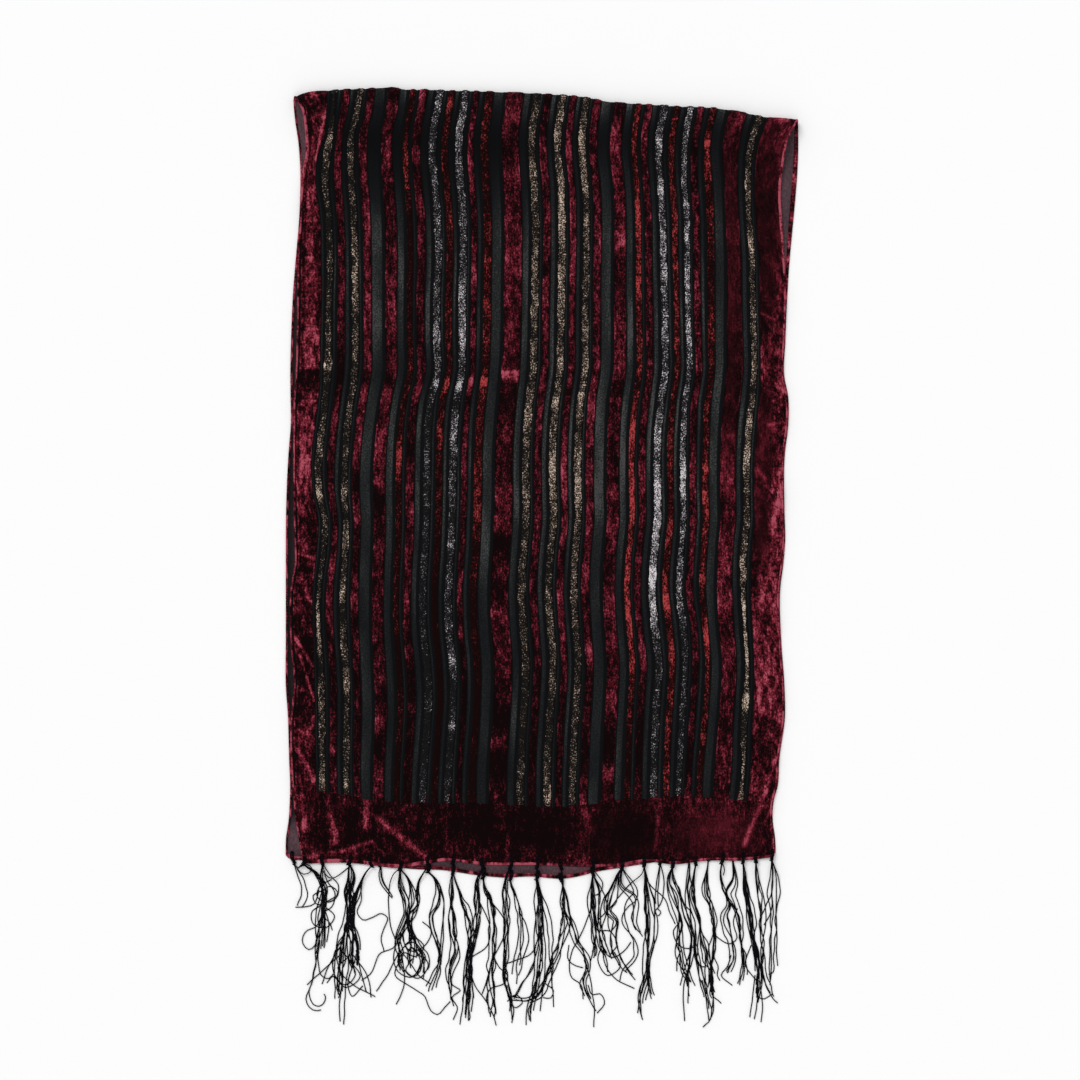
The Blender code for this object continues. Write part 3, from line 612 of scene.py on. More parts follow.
def painted_ground_light(channel, role, gap, across, down, along):
    """The ground's painted light and shade: by its place down, its width, and painted highlights on edges.

    The wrong side gets painted shade only in the narrow strip down the left edge. Each channel has
    its own row of every random field.
    """
    downs, left_half, right_half = np.array(CHANNEL_PAINTED_LIGHT).T
    to_right = np.clip((across - LEFT_HALF_ENDS) / (RIGHT_HALF_STARTS - LEFT_HALF_ENDS), 0.0, 1.0)
    light = smooth_line(downs, left_half, down) * (1.0 - to_right)
    light += smooth_line(downs, right_half, down) * to_right
    light *= np.interp(gap, [3.0, 5.0, 8.0, 12.0], [0.6, 0.75, 0.95, 1.0])
    row = channel * 3.3
    light *= 0.75 + 0.5 * random_field(51, row, down, 1.0, 55.0)
    turn_highlight = 0.55 + 0.7 * random_field(54, row, 0 * down, 1.0, 1.0)
    light *= np.where(down < TURN_ENDS, turn_highlight, 1.0)
    left_edge_highlight = np.clip(random_field(52, row, down, 1.0, 38.0) * 2.6 - 1.0, 0.0, 1.0)
    right_edge_highlight = np.clip(random_field(53, row, down, 1.0, 46.0) * 2.6 - 1.2, 0.0, 1.0)
    # Roles 1 and 4 get painted shade beside the pile, 2 and 3 painted light with painted edge highlights in
    # stretches
    by_role = (0.0, 0.1, 0.85 + 0.5 * left_edge_highlight, 0.8 + 0.6 * right_edge_highlight, 0.1)
    light *= np.choose(role.astype(int), by_role)
    strip = bell(across, STRIP_ACROSS, STRIP_HALF_WIDTH)
    strip *= (down > STRIP_DOWN[0]) * (down < STRIP_DOWN[1])
    return np.where(along > WRONG_LIGHT_FROM, light, 1.0 - STRIP_PAINTED_SHADE * strip)


BACK_ROWS = 34
ROLL_ROWS = 14
STRIPE_ROWS = 185
BAND_ROWS = 18
CHANNEL_SAG = 0.25
ground_rows = np.concatenate([
    np.linspace(-2, -1, BACK_ROWS, endpoint=False), np.linspace(-1, 0, ROLL_ROWS, endpoint=False),
    np.linspace(0, 1, STRIPE_ROWS, endpoint=False), np.linspace(1, 2, BAND_ROWS),
])
column_rest, *column_channel = ground_columns()
ground_along, ground_rest = np.meshgrid(ground_rows, column_rest, indexing="ij")
ground_channel, ground_role, ground_gap = (
    np.broadcast_to(column, ground_rest.shape) for column in column_channel)
sag = -CHANNEL_SAG * (ground_role > 1) * (ground_role < 4) * (ground_along > -1)
ground_place = cloth_point(ground_rest, ground_along, sag)
ground_painted_light = painted_ground_light(ground_channel, ground_role, ground_gap, *ground_place[:2], ground_along)
ground_quads = grid_faces(*ground_rest.shape)
quad_along = ground_along.ravel()[ground_quads[:, 1]]
ground_cloth = put(
    "ground_cloth", to_metres(*ground_place).reshape(-1, 3), [ground_quads],
    [chiffon_end, wrong_end],
    uv=cloth_uv(ground_rest, ground_place[1]),
    values={"level": ground_painted_light.ravel()},
    slots=(quad_along <= WRONG_SIDE_FROM),
)
wall = ground_cloth.modifiers.new("wall", "SOLIDIFY")
wall.thickness = GROUND_WALL * MM
wall.offset = 0.0
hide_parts("front_stretch", "back_stretch")
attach(ground_cloth, "root")

# Velvet pile
# The pile stands on the ground in bands of its own colour, woven with it and left where the
# cloth wasn't burnt out. It is crushed: where it lies down a pink or pale sheen is painted into
# its colour, and where it stands painted shade makes it almost black. Each band is a low cushion with a
# soft, uneven edge.
PILE_HEIGHT = 1.0
PILE_FOOT = -0.2
PILE_ROW = 1.6
PILE_FOLDS = 0.35

# The bands run from under the roll to just inside the end band. Their unevenness is worked out on
# 700 mm of stripe from 105 mm down. The right border reaches a little past the cloth's edge.
PILE_START = -0.8
PILE_END = 1.006
STRIPE_TOP = 105.0
STRIPE_LENGTH = 700.0
PILE_RUN = 695.0
PILE_RIGHT = EDGE_RESTS[1] + 0.4

# Where a band's pile is partly hidden, so that it looks narrower: band, place down, half length,
# and the share of its width that is lost
NARROWINGS = (
    (29, 640, 48, 0.5),
    (29, 775, 24, 0.55),
    (27, 690, 30, 0.25),
    (1, 112, 16, 0.5),
    (1, 320, 40, 0.2),
    (1, 620, 60, 0.4),
    (1, 230, 50, 0.2),
)


def ragged_edge(seed, length, raggedness):
    """How far a band's edge strays along its length: a slow unevenness and a quick one."""
    slow = uneven(seed, 0 * length + 1.5, length, 1.0, 9.0)
    quick = uneven(seed + 1, 0 * length + 1.5, length, 1.0, 2.4)
    return (slow + quick) * raggedness


def strip_points(index, columns, rows, raggedness, bumps):
    """A band of pile from the roll's underside to the end of the stripes, as a closed loop.

    Its cross-section is part of an oval, sin across and the root of cos up, on a narrow foot.
    """
    start, end, _ = BANDS[index]
    seed = 100 * index
    along = np.concatenate([
        np.linspace(PILE_START, 0.0, 10, endpoint=False), np.linspace(0.0, PILE_END, rows)])
    turn = np.linspace(-0.5, 0.5, columns) * np.pi
    sideways = np.concatenate([np.sin(turn), [0.8, -0.8]])
    rise = np.concatenate([np.sqrt(np.maximum(np.cos(turn), 0.0)), [0.0, 0.0]])
    top = np.concatenate([np.ones(columns), [0.0, 0.0]])
    length = along * STRIPE_LENGTH
    left = ragged_edge(seed, length, raggedness)
    right = ragged_edge(seed + 2, length, raggedness)
    middle = (start + end + left + right)[:, None] / 2.0
    half = (end - start - left + right)[:, None] / 2.0
    for band, level, half_length, lost in NARROWINGS:
        if band == index:
            away = (length + STRIPE_TOP - level) / half_length
            half = half * (1.0 - lost * np.exp(-(away ** 4)))[:, None]
    rest = np.clip(middle + half * sideways, EDGE_RESTS[0], PILE_RIGHT)
    along = np.broadcast_to(along[:, None], rest.shape)
    lift = PILE_FOOT + (PILE_HEIGHT - PILE_FOOT) * rise
    rough = uneven(seed + 4, rest, along * STRIPE_LENGTH, 1.7, 2.6)
    folds = uneven(seed + 5, rest, along * STRIPE_LENGTH, 4.0, 9.0)
    lift = lift + (rough * bumps + folds * PILE_FOLDS) * top * np.minimum(rise * 1.5, 1.0)
    return cloth_point(rest, along, lift), rest


def pile_piece(name, bands, material, columns_for, row_step, raggedness, bumps, nap_sheen_for):
    """One piece of all the bands of one pile, each a closed strip with flat ends.

    columns_for gives a width its number of columns, and the nap function each point its painted sheen.
    """
    points, uvs, naps, depths, walls, ends = [], [], [], [], [], []
    count = 0
    for index in bands:
        start, end, _ = BANDS[index]
        place, rest = strip_points(
            index, columns_for(end - start), round(PILE_RUN / row_step), raggedness, bumps)
        rows, columns = rest.shape
        points.append(to_metres(*place).reshape(-1, 3))
        uvs.append(cloth_uv(rest, place[1]))
        naps.append(nap_sheen_for(index, rest, *place[:2]).ravel())
        depths.append(crush_depth(*place[:2]).ravel())
        walls.append(grid_faces(rows, columns, closed=True) + count)
        ring = np.arange(columns)[None] + count
        ends += [ring, ring[:, ::-1] + (rows - 1) * columns]
        count += rows * columns
    piece = put(name, np.concatenate(points), [*walls, *ends], [material], uv=np.concatenate(uvs),
                values={"nap_sheen": np.concatenate(naps), "depth": np.concatenate(depths)})
    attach(piece, "root")
    return piece


# The number of the end band, which comes after those of the bands between the edges
END_BAND = 50

# Painted sheen where the burgundy pile of the wide borders and the end band lies over, and painted
# shade where it stands: places across and down, half sizes and strength
PAINTED_SHEEN_PATCHES = (
    (306, 112, 8, 16, 0.1),
    (325, 100, 6, 14, -0.22),
    (308, 250, 8, 70, 0.2),
    (319, 260, 4, 60, -0.22),
    (308, 345, 10, 20, 0.22),
    (305, 445, 9, 50, 0.32),
    (299, 530, 3, 50, 0.18),
    (311, 535, 7, 30, -0.25),
    (296, 600, 4, 40, 0.12),
    (306, 650, 11, 56, -0.32),
    (312, 684, 6, 14, -0.16),
    (306, 722, 8, 22, -0.1),
    (312, 765, 5, 10, -0.25),
    (312, 800, 14, 12, -0.14),
    (318, 832, 8, 12, -0.2),
    (352, 822, 8, 14, -0.2),
    (395, 806, 14, 10, -0.1),
    (395, 838, 40, 20, -0.16),
    (480, 822, 46, 26, -0.26),
    (545, 828, 34, 26, -0.2),
    (490, 700, 70, 110, -0.12),
    (440, 660, 60, 90, -0.1),
    (722, 832, 38, 26, 0.2),
    (625, 834, 34, 26, -0.2),
    (545, 752, 210, 50, -0.08),
    (330, 240, 12, 130, -0.08),
    (400, 400, 10, 90, -0.1),
    (764, 215, 16, 110, -0.16),
    (781, 200, 3, 80, 0.16),
    (765, 330, 8, 20, -0.06),
    (768, 408, 9, 9, -0.18),
    (765, 450, 12, 24, -0.06),
    (775, 505, 5, 40, 0.16),
    (764, 520, 7, 30, -0.12),
    (764, 690, 16, 50, 0.06),
    (772, 750, 8, 22, -0.1),
    (760, 800, 7, 20, -0.12),
    (765, 830, 8, 14, -0.08),
)

# Where the velvet is hardly crushed, so its painted sheen varies less: places across and down, and half
# sizes
CALM_PLACES = (
    (764, 215, 24, 130),
    (728, 290, 16, 190),
    (762, 440, 14, 60),
    (760, 520, 12, 50),
    (625, 836, 42, 32),
    (712, 834, 52, 28),
)

# The crush line where the scarf was folded 370 mm down: spans across in which painted highlight, or painted
# shade where the value is negative, starts at a sharp upper edge, with that edge, how far it reaches down,
# and by how much
CRUSH_LINE = (
    (303, 323, 369, 22, -0.34),
    (364, 394, 376, 9, -0.2),
    (434, 450, 378, 14, 0.42),
    (466, 474, 376, 14, 0.3),
    (478, 488, 376, 11, 0.4),
    (498, 521, 370, 10, 0.47),
    (498, 520, 383, 24, -0.24),
    (566, 600, 363, 8, 0.14),
    (612, 626, 362, 12, 0.1),
    (612, 626, 380, 30, -0.18),
    (630, 642, 368, 5, 0.3),
)

# Along each narrower band, the stretches of painted sheen or painted shade: place down, half length
# and strength
PAINTED_SHEEN_STRETCHES = {
    1: ((108, 20, -0.34), (138, 8, 0.24), (225, 14, -0.2), (262, 6, 0.12), (366, 5, 0.32),
        (392, 20, -0.24), (440, 10, 0.2), (492, 9, 0.36), (545, 26, -0.14), (620, 22, 0.46),
        (648, 8, 0.22), (668, 10, -0.3), (778, 12, 0.28)),
    2: ((98, 10, 0.2), (375, 25, -0.15), (430, 14, 0.12), (525, 15, -0.12), (605, 26, 0.22),
        (680, 30, -0.15), (750, 7, 0.15)),
    3: ((212, 12, -0.12), (285, 26, 0.26), (373, 4, 0.15), (492, 8, 0.36), (540, 24, 0.14),
        (590, 10, 0.26), (618, 14, -0.26), (683, 9, 0.36), (784, 8, 0.26)),
    4: ((222, 20, 0.16), (300, 22, 0.14), (350, 14, 0.14), (398, 11, 0.2), (444, 18, 0.27),
        (482, 18, -0.15), (514, 10, 0.2), (560, 24, -0.15), (598, 10, 0.2), (690, 26, -0.15),
        (760, 30, -0.2)),
    5: ((98, 6, -0.2), (310, 34, 0.12), (395, 10, 0.25), (444, 16, 0.22), (484, 5, 0.22),
        (505, 12, -0.2), (678, 6, 0.3), (700, 10, -0.2), (720, 5, 0.26), (745, 12, -0.25),
        (770, 12, 0.15)),
    6: ((110, 25, -0.12), (168, 22, 0.22), (230, 40, -0.24), (340, 50, -0.16), (460, 16, 0.36),
        (490, 14, -0.18), (540, 30, -0.14), (650, 40, -0.25), (770, 30, -0.3)),
    7: ((100, 12, 0.14), (135, 16, -0.12), (358, 18, -0.16), (389, 5, 0.15), (452, 14, -0.15),
        (488, 10, 0.16), (600, 10, 0.26), (690, 26, -0.22), (765, 30, -0.22)),
    8: ((102, 14, 0.14), (168, 8, 0.12), (247, 8, 0.2), (333, 14, 0.24), (382, 5, 0.2), (430, 24, -0.25),
        (520, 30, -0.2), (600, 24, -0.2), (670, 20, -0.22), (705, 5, 0.12), (735, 24, -0.22)),
    9: ((108, 8, 0.36), (170, 16, -0.12), (407, 8, -0.25), (436, 10, 0.15), (480, 34, -0.12),
        (600, 40, -0.25), (700, 80, -0.3)),
    10: ((125, 24, 0.14), (165, 12, 0.14), (290, 12, 0.28), (335, 24, 0.26), (385, 8, 0.42),
        (402, 5, -0.2), (432, 16, 0.22), (515, 14, -0.12), (545, 7, 0.26), (660, 16, 0.3),
        (698, 8, -0.12), (726, 6, 0.42), (755, 20, -0.22)),
    11: ((145, 26, 0.17), (275, 18, 0.16), (386, 8, 0.2), (402, 6, -0.2), (458, 14, 0.14),
        (583, 16, 0.3), (633, 8, 0.25), (700, 26, -0.2), (770, 24, -0.25)),
    12: ((205, 8, -0.25), (262, 8, 0.18), (300, 22, 0.16), (342, 10, 0.15), (485, 26, 0.12),
        (545, 14, -0.25), (600, 30, -0.15), (700, 40, -0.25), (780, 20, -0.3)),
    13: ((115, 8, 0.14), (150, 10, -0.27), (176, 8, 0.16), (262, 14, 0.17), (458, 34, -0.12),
        (357, 8, -0.12), (543, 9, -0.36), (590, 10, -0.15), (612, 12, 0.26), (655, 20, 0.16),
        (718, 12, -0.3), (742, 6, 0.28), (765, 12, -0.25)),
    14: ((100, 10, -0.15), (152, 6, -0.12), (168, 8, 0.22), (255, 18, 0.12), (300, 24, 0.16),
        (366, 4, 0.3), (412, 14, 0.14), (444, 6, 0.2), (458, 6, -0.12), (505, 18, 0.26),
        (730, 30, -0.14)),
    15: ((110, 20, -0.12), (300, 16, 0.15), (700, 40, -0.15), (770, 25, -0.12)),
    16: ((125, 18, 0.15), (205, 34, 0.3), (290, 18, 0.28), (360, 12, 0.2), (378, 4, -0.14),
        (402, 12, 0.22), (470, 30, 0.3), (570, 20, -0.18), (630, 10, 0.15), (725, 36, -0.2),
        (795, 12, 0.3)),
    17: ((118, 16, -0.16), (150, 8, 0.15), (212, 24, 0.2), (265, 40, 0.2), (392, 12, -0.16),
        (472, 30, 0.36), (535, 16, 0.2), (625, 18, 0.2), (720, 24, -0.15), (775, 20, -0.18)),
    18: ((115, 8, -0.24), (141, 8, 0.26), (182, 8, 0.12), (202, 8, -0.15), (225, 10, 0.12),
        (360, 18, 0.18), (395, 8, 0.26), (432, 10, -0.14), (485, 30, 0.28), (670, 24, -0.22)),
    19: ((165, 20, 0.12), (258, 40, 0.12), (410, 10, 0.26), (440, 10, 0.18), (475, 12, 0.2),
        (525, 20, 0.2), (575, 16, 0.14), (652, 14, 0.22), (740, 24, -0.18)),
    20: ((115, 12, -0.12), (148, 8, 0.15), (240, 14, 0.2), (268, 10, -0.12), (325, 8, 0.14),
        (346, 10, 0.12), (460, 14, -0.15), (530, 10, 0.12), (565, 16, -0.15), (605, 16, 0.16),
        (660, 12, -0.15), (700, 14, 0.2), (740, 18, -0.22), (772, 8, 0.22)),
    21: ((215, 24, 0.16), (275, 40, 0.24), (385, 8, -0.16), (430, 14, 0.3), (490, 30, 0.36),
        (560, 18, 0.2), (608, 22, 0.34), (760, 40, -0.3)),
    22: ((130, 16, 0.14), (168, 8, -0.15), (290, 14, 0.15), (435, 10, -0.12), (473, 14, 0.26),
        (700, 24, -0.2), (750, 30, -0.26)),
    23: ((145, 8, 0.32), (170, 8, -0.12), (190, 8, 0.36), (238, 16, 0.26), (275, 12, 0.12),
        (325, 14, 0.28), (374, 4, 0.3), (405, 6, -0.12), (435, 18, 0.26), (490, 20, 0.4),
        (530, 24, 0.34), (580, 20, 0.5), (608, 12, 0.45), (715, 75, -0.28), (738, 10, 0.24)),
    24: ((112, 8, -0.15), (345, 8, 0.15), (440, 12, 0.26), (525, 22, 0.14), (600, 18, 0.42),
        (655, 12, 0.22), (785, 10, 0.2)),
    25: ((205, 10, 0.14), (240, 10, 0.12), (278, 14, 0.3), (335, 24, 0.22), (480, 20, 0.4),
        (630, 36, -0.16), (735, 60, -0.26)),
    26: ((150, 34, -0.12), (362, 10, 0.2), (484, 20, 0.14), (610, 14, -0.12), (700, 24, -0.14),
        (760, 30, -0.22)),
    27: ((104, 14, -0.16), (143, 6, 0.46), (165, 10, 0.26), (260, 70, -0.13), (380, 12, -0.12),
        (412, 8, 0.12), (468, 8, 0.28), (505, 20, 0.3), (535, 10, 0.22), (580, 6, 0.3), (640, 14, 0.36),
        (735, 5, 0.22), (765, 24, -0.14)),
    28: ((380, 50, -0.12), (436, 5, 0.12), (480, 20, 0.16), (560, 20, 0.18), (600, 10, 0.2)),
    29: ((190, 10, 0.18), (248, 22, 0.3), (372, 8, 0.3), (388, 8, -0.22), (425, 4, 0.25), (455, 18, 0.3),
        (500, 20, -0.12), (570, 8, 0.2), (610, 12, 0.45), (650, 16, 0.4), (700, 8, 0.42),
        (728, 14, -0.18), (773, 18, 0.36)),
}


def from_middle(across, down, middle, level, half_across, half_down):
    """The squared distance from an oval's middle, which is 1 on the oval."""
    return ((across - middle) / half_across) ** 2 + ((down - level) / half_down) ** 2


def painted_sheen_and_shade(index, across, down):
    """How much painted sheen or painted shade the pile gets here, by the patches, creases, crush line and
    stretches.
    """
    total = np.zeros_like(across)
    for *oval, strength in PAINTED_SHEEN_PATCHES:
        total += strength * np.exp(-from_middle(across, down, *oval))
    for *line, _, half_width, strength in CREASES:
        total += strength * near_line(across, down, line, half_width * 0.8)
    for first, last, edge, reach, strength in CRUSH_LINE:
        inside = np.clip(across - first, 0, 1) * np.clip(last - across, 0, 1)
        past = down - edge
        below = np.clip(past / 1.5, 0, 1) * np.exp(-np.clip(past / reach, 0, None) ** 4)
        total += strength * inside * below
    for middle, half_length, strength in PAINTED_SHEEN_STRETCHES.get(index, ()):
        total += strength * bell(down, middle, half_length)
    return total


def crush_depth(across, down):
    """How strongly the velvet's painted crush sheen varies: 1 in general, and down to 0.35 in its calm
    places.
    """
    calm = np.zeros_like(across)
    for oval in CALM_PLACES:
        calm = np.maximum(calm, np.exp(-(from_middle(across, down, *oval) ** 2)))
    return 1.0 - 0.65 * calm


# How wide the painted highlight or painted shade line along a narrow band's edge is
EDGE_LINE = 1.6


def painted_edge_light(index, rest, down):
    """Painted light along a band's two edges: painted shade, and painted highlight again in stretches."""
    if index == END_BAND:
        return 0.0 * rest
    start, end, _ = BANDS[index]
    near = 1.0 - np.clip(np.minimum(rest - start, end - rest) / EDGE_LINE, 0.0, 1.0)
    side = np.where(rest - start < end - rest, 0.0, 7.0)
    return near * (0.8 * random_field(27 + index, side, down, 1.0, 13.0) - 0.5)


# The lie of each pile as painted sheen: 0 stands up and is painted black, 1 lies over and gets painted
# shine
LEFT_BORDER = 0
RIGHT_BORDER = 30
MAIN_LIE = {LEFT_BORDER: 0.385, RIGHT_BORDER: 0.38, END_BAND: 0.25}
LEFT_LIE = 0.31
RIGHT_LIE = 0.345
GROOVE_AT = 299.4


def burgundy_nap_sheen(index, rest, across, down):
    """The burgundy pile's painted sheen, by how far it lies over: crush at three scales, its main lie, and
    its edges.

    A groove of painted shade runs beside the rolled edge on the left.
    """
    nap_sheen = MAIN_LIE.get(index, LEFT_LIE if index < 9 else RIGHT_LIE)
    crushed = 0.34 * uneven(7 + index, rest, down, 3.0, 10.0)
    crushed += 0.44 * uneven(77 + index, rest, down, 1.8, 3.4)
    crushed += 0.24 * uneven(177 + index, rest, down, 9.0, 26.0)
    if index in (LEFT_BORDER, RIGHT_BORDER):
        crushed = 1.3 * crushed + 0.2 * uneven(277 + index, rest, down, 4.5, 6.0)
    if index == END_BAND:
        crushed = 0.9 * crushed + 0.2 * uneven(277 + index, rest, down, 8.0, 5.0)
    crushed *= crush_depth(across, down)
    # Painted shade in the groove beside the rolled edge
    groove_shade = 0.3 * bell(rest, GROOVE_AT, 0.8) * (index == LEFT_BORDER)
    return nap_sheen + crushed + painted_sheen_and_shade(index, across, down) + painted_edge_light(index, rest, down) - groove_shade


# The velvet's colour paints its sheen and shade: the lie of its pile, read from an attribute, and the crush
# and streak noise run its ramp from near black to pink
velvet = Finish(
    "burgundy_velvet", roughness=0.9, specular=0.04, sheen=0.06, sheen_tint=(1.0, 0.4, 0.5))
nap_sheen = velvet.add("Attribute", {}, output="Fac", attribute_name="nap_sheen")
streaks = velvet.noise(520.0, 130.0)
crush = velvet.noise(700.0, 460.0, detail=4.0)
depth = velvet.add("Attribute", {}, output="Fac", attribute_name="depth")
velvet_painted_sheen = nap_sheen + ((streaks - 0.5) * 0.8 + (crush - 0.5) * 1.5) * depth
velvet_colour = velvet.add("ValToRGB", {"Fac": velvet_painted_sheen}, stops=(
    (0.1, (0.0038, 0.0008, 0.0012)),
    (0.32, (0.0190, 0.0020, 0.0034)),
    (0.52, (0.0800, 0.0066, 0.0125)),
    (0.72, (0.1950, 0.0200, 0.0370)),
    (0.95, (0.3800, 0.0720, 0.1050)),
))
velvet_end = velvet.end(velvet_colour, crush + streaks, 0.0007)
BURGUNDY_RAGGEDNESS = 0.5
BURGUNDY_BUMPS = 0.35
burgundy = [i for i, band in enumerate(BANDS) if band[2] == "burgundy"]
burgundy_pieces = [
    pile_piece("burgundy_pile_" + side, chosen, velvet_end, lambda width: 5 + round(width / 1.6),
               PILE_ROW, BURGUNDY_RAGGEDNESS, BURGUNDY_BUMPS, burgundy_nap_sheen)
    for side, chosen in (("left", [i for i in burgundy if i < 12]),
                         ("right", [i for i in burgundy if i > 12]))
]

# Red pile
# Six narrow bands of the same cut pile in threads of two reds, four of them scarlet and two dark
# red, whose sheen in long stretches is painted into their colour. They are woven and left standing as the
# burgundy ones are.
red = Finish("red_velvet", roughness=0.9, specular=0.04, sheen=0.06, sheen_tint=(1.0, 0.5, 0.4))
red_nap_sheen = red.add("Attribute", {}, output="Fac", attribute_name="nap_sheen")
red_crush = red.noise(760.0, 460.0)
red_streaks = red.noise(620.0, 110.0)
red_painted_sheen = red_nap_sheen + (red_crush - 0.5) * 2.0 + (red_streaks - 0.5) * 0.8
red_colour = red.add("ValToRGB", {"Fac": red_painted_sheen}, stops=(
    (0.12, (0.0060, 0.0012, 0.0014)),
    (0.38, (0.0270, 0.0028, 0.0032)),
    (0.6, (0.1450, 0.0140, 0.0155)),
    (0.85, (0.3900, 0.0480, 0.0500)),
))
red_end = red.end(red_colour, red_crush + red_streaks, 0.0006)


def red_nap_sheen_at(index, rest, across, down):
    """The red pile's painted sheen, lower on the left: long stretches of painted sheen, and crush within
    them.
    """
    nap_sheen = np.interp(index, [12, 21, 24], [0.26, 0.37, 0.33])
    nap_sheen += 0.22 * uneven(307 + index, rest, down, 30.0, 26.0)
    nap_sheen += 0.5 * uneven(407 + index, rest, down, 2.4, 4.0)
    return nap_sheen + painted_sheen_and_shade(index, across, down) + 0.7 * painted_edge_light(index, rest, down)


RED_RAGGEDNESS = 0.6
RED_BUMPS = 0.4
reds = [i for i, band in enumerate(BANDS) if band[2] in ("red", "dark_red")]
red_piece = pile_piece("red_pile", reds, red_end, lambda width: 8, PILE_ROW, RED_RAGGEDNESS, RED_BUMPS,
                       red_nap_sheen_at)


# Gold and silver pile
# Six gold bands and four silver ones, of a coarse tinsel-like pile that mixes pale and black
# threads, with a painted glint where it lies over.
def metallic(name, stops):
    """A finish of pale threads speckled with black ones, with painted glint where the nap attribute says.
    """
    finish = Finish(name, roughness=0.8, specular=0.08)
    painted_glint_level = finish.add("Attribute", {}, output="Fac", attribute_name="nap_sheen")
    fleck = finish.noise(850.0, 650.0, detail=3.0)
    painted_glint = painted_glint_level + (fleck - 0.5) * 3.1
    colour = finish.add("ValToRGB", {"Fac": painted_glint}, stops=stops)
    return finish.end(colour, fleck, 0.0008)


gold_end = metallic("gold_pile", (
    (0.12, (0.0040, 0.0033, 0.0030)),
    (0.36, (0.0260, 0.0185, 0.0135)),
    (0.6, (0.1850, 0.1320, 0.1000)),
    (0.95, (0.6600, 0.5200, 0.4200)),
))
silver_end = metallic("silver_pile", (
    (0.12, (0.0040, 0.0038, 0.0044)),
    (0.36, (0.0290, 0.0265, 0.0300)),
    (0.6, (0.1950, 0.1780, 0.1880)),
    (0.95, (0.7200, 0.6750, 0.6950)),
))


def pale_nap_sheen(index, rest, across, down):
    """The pale pile's painted shine, lower on the left: main stretches, blotches, flecks of glitter, and
    painted light and shade at its edges.
    """
    nap_sheen = np.interp(index, [10, 14, 16], [0.2, 0.23, 0.31])
    nap_sheen += 0.16 * uneven(507 + index, rest, down, 60.0, 18.0)
    nap_sheen += 0.46 * uneven(607 + index, rest, down, 3.0, 5.0)
    nap_sheen += 0.4 * uneven(707 + index, rest, down, 1.6, 2.0)
    return nap_sheen + painted_sheen_and_shade(index, across, down) + painted_edge_light(index, rest, down) - 0.05


PALE_ROW = 1.2
PALE_RAGGEDNESS = 1.3
PALE_BUMPS = 0.8
for pile, finish in (("gold", gold_end), ("silver", silver_end)):
    chosen = [i for i, band in enumerate(BANDS) if band[2] == pile]
    pile_piece(pile + "_pile", chosen, finish, lambda width: 9,
                                  PALE_ROW, PALE_RAGGEDNESS, PALE_BUMPS, pale_nap_sheen)

# Plain end band
# The last 60 mm before the hem is left unburnt, in plain burgundy velvet across the width.
# The channels end in round corners at its upper edge.
END_COLUMNS = 440
END_ROWS = 42
END_LENGTH = 60.0
END_TOP = 0.975
END_FOOT = 2.004
END_ROUND = 2.5
END_WALL = 0.7
CHANNEL_FOOT = 2.6
end_share, end_rest = np.meshgrid(
    np.linspace(0.0, 1.0, END_ROWS), np.linspace(EDGE_RESTS[0], PILE_RIGHT, END_COLUMNS),
    indexing="ij",
)
channel_foot = np.zeros(END_COLUMNS)
for (_, left, _), (right, _, _) in zip(BANDS[:-1], BANDS[1:]):
    off_middle = np.abs(end_rest[0] - (left + right) / 2.0) / (right - left) * 2.0
    rounded = np.sqrt(np.clip(1.0 - off_middle ** 4, 0.0, 1.0))
    channel_foot = np.maximum(channel_foot, CHANNEL_FOOT * rounded)
end_top = END_TOP + channel_foot / END_LENGTH
end_along = end_top + (END_FOOT - end_top) * end_share
from_hem = (END_FOOT - end_along) * END_LENGTH
from_side = np.minimum(end_rest - end_rest.min(), end_rest.max() - end_rest)
from_top = (end_along - end_top) * END_LENGTH
from_edge = np.minimum(np.minimum(from_hem, from_side), from_top)
round_off = np.sqrt(np.clip(from_edge / END_ROUND, 0.0, 1.0))
end_lift = PILE_FOOT + (PILE_HEIGHT - PILE_FOOT) * round_off
end_lift += PILE_FOLDS * uneven(901, end_rest, end_along * END_LENGTH, 4.0, 7.0) * round_off
end_place = cloth_point(end_rest, end_along, end_lift)
end_nap_sheen = burgundy_nap_sheen(END_BAND, end_rest, *end_place[:2])
end_band = put(
    "plain_end_band", to_metres(*end_place).reshape(-1, 3), [grid_faces(END_ROWS, END_COLUMNS)],
    [velvet_end], uv=cloth_uv(end_rest, end_place[1]),
    values={"nap_sheen": end_nap_sheen.ravel(), "depth": crush_depth(*end_place[:2]).ravel()},
)
end_wall = end_band.modifiers.new("wall", "SOLIDIFY")
end_wall.thickness = END_WALL * MM
end_wall.offset = -1.0
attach(end_band, "root")


# Rolled edges
# The raw edges are turned under and rolled by hand, so the pile comes round each edge as a thin
# cord with painted sheen. The lower stretch shows its own rim, turned up from below.
RIM_SIDES = 7
FRONT_RIM_STEPS = 420
BACK_RIM_STEPS = 300
HEM_STEPS = 320


def tube_points(path, radius, sides):
    """Rings of points round each path, which are arrays of paths, points and xyz in mm.

    A ring lies across the path in the plane of its sideways direction and straight up.
    """
    forward = np.gradient(path, axis=1)
    sideways = np.stack([-forward[..., 1], -forward[..., 0]], axis=-1)
    sideways /= np.maximum(np.linalg.norm(sideways, axis=-1, keepdims=True), 1e-9)
    angle = np.pi - np.arange(sides) * 2 * np.pi / sides
    ring = np.broadcast_to(path[:, :, None, :], (*path.shape[:2], sides, 3)).copy()
    flat = radius * np.cos(angle)
    ring[..., 0] -= sideways[..., None, 0] * flat
    ring[..., 1] += sideways[..., None, 1] * flat
    ring[..., 2] += radius * np.sin(angle)
    return ring


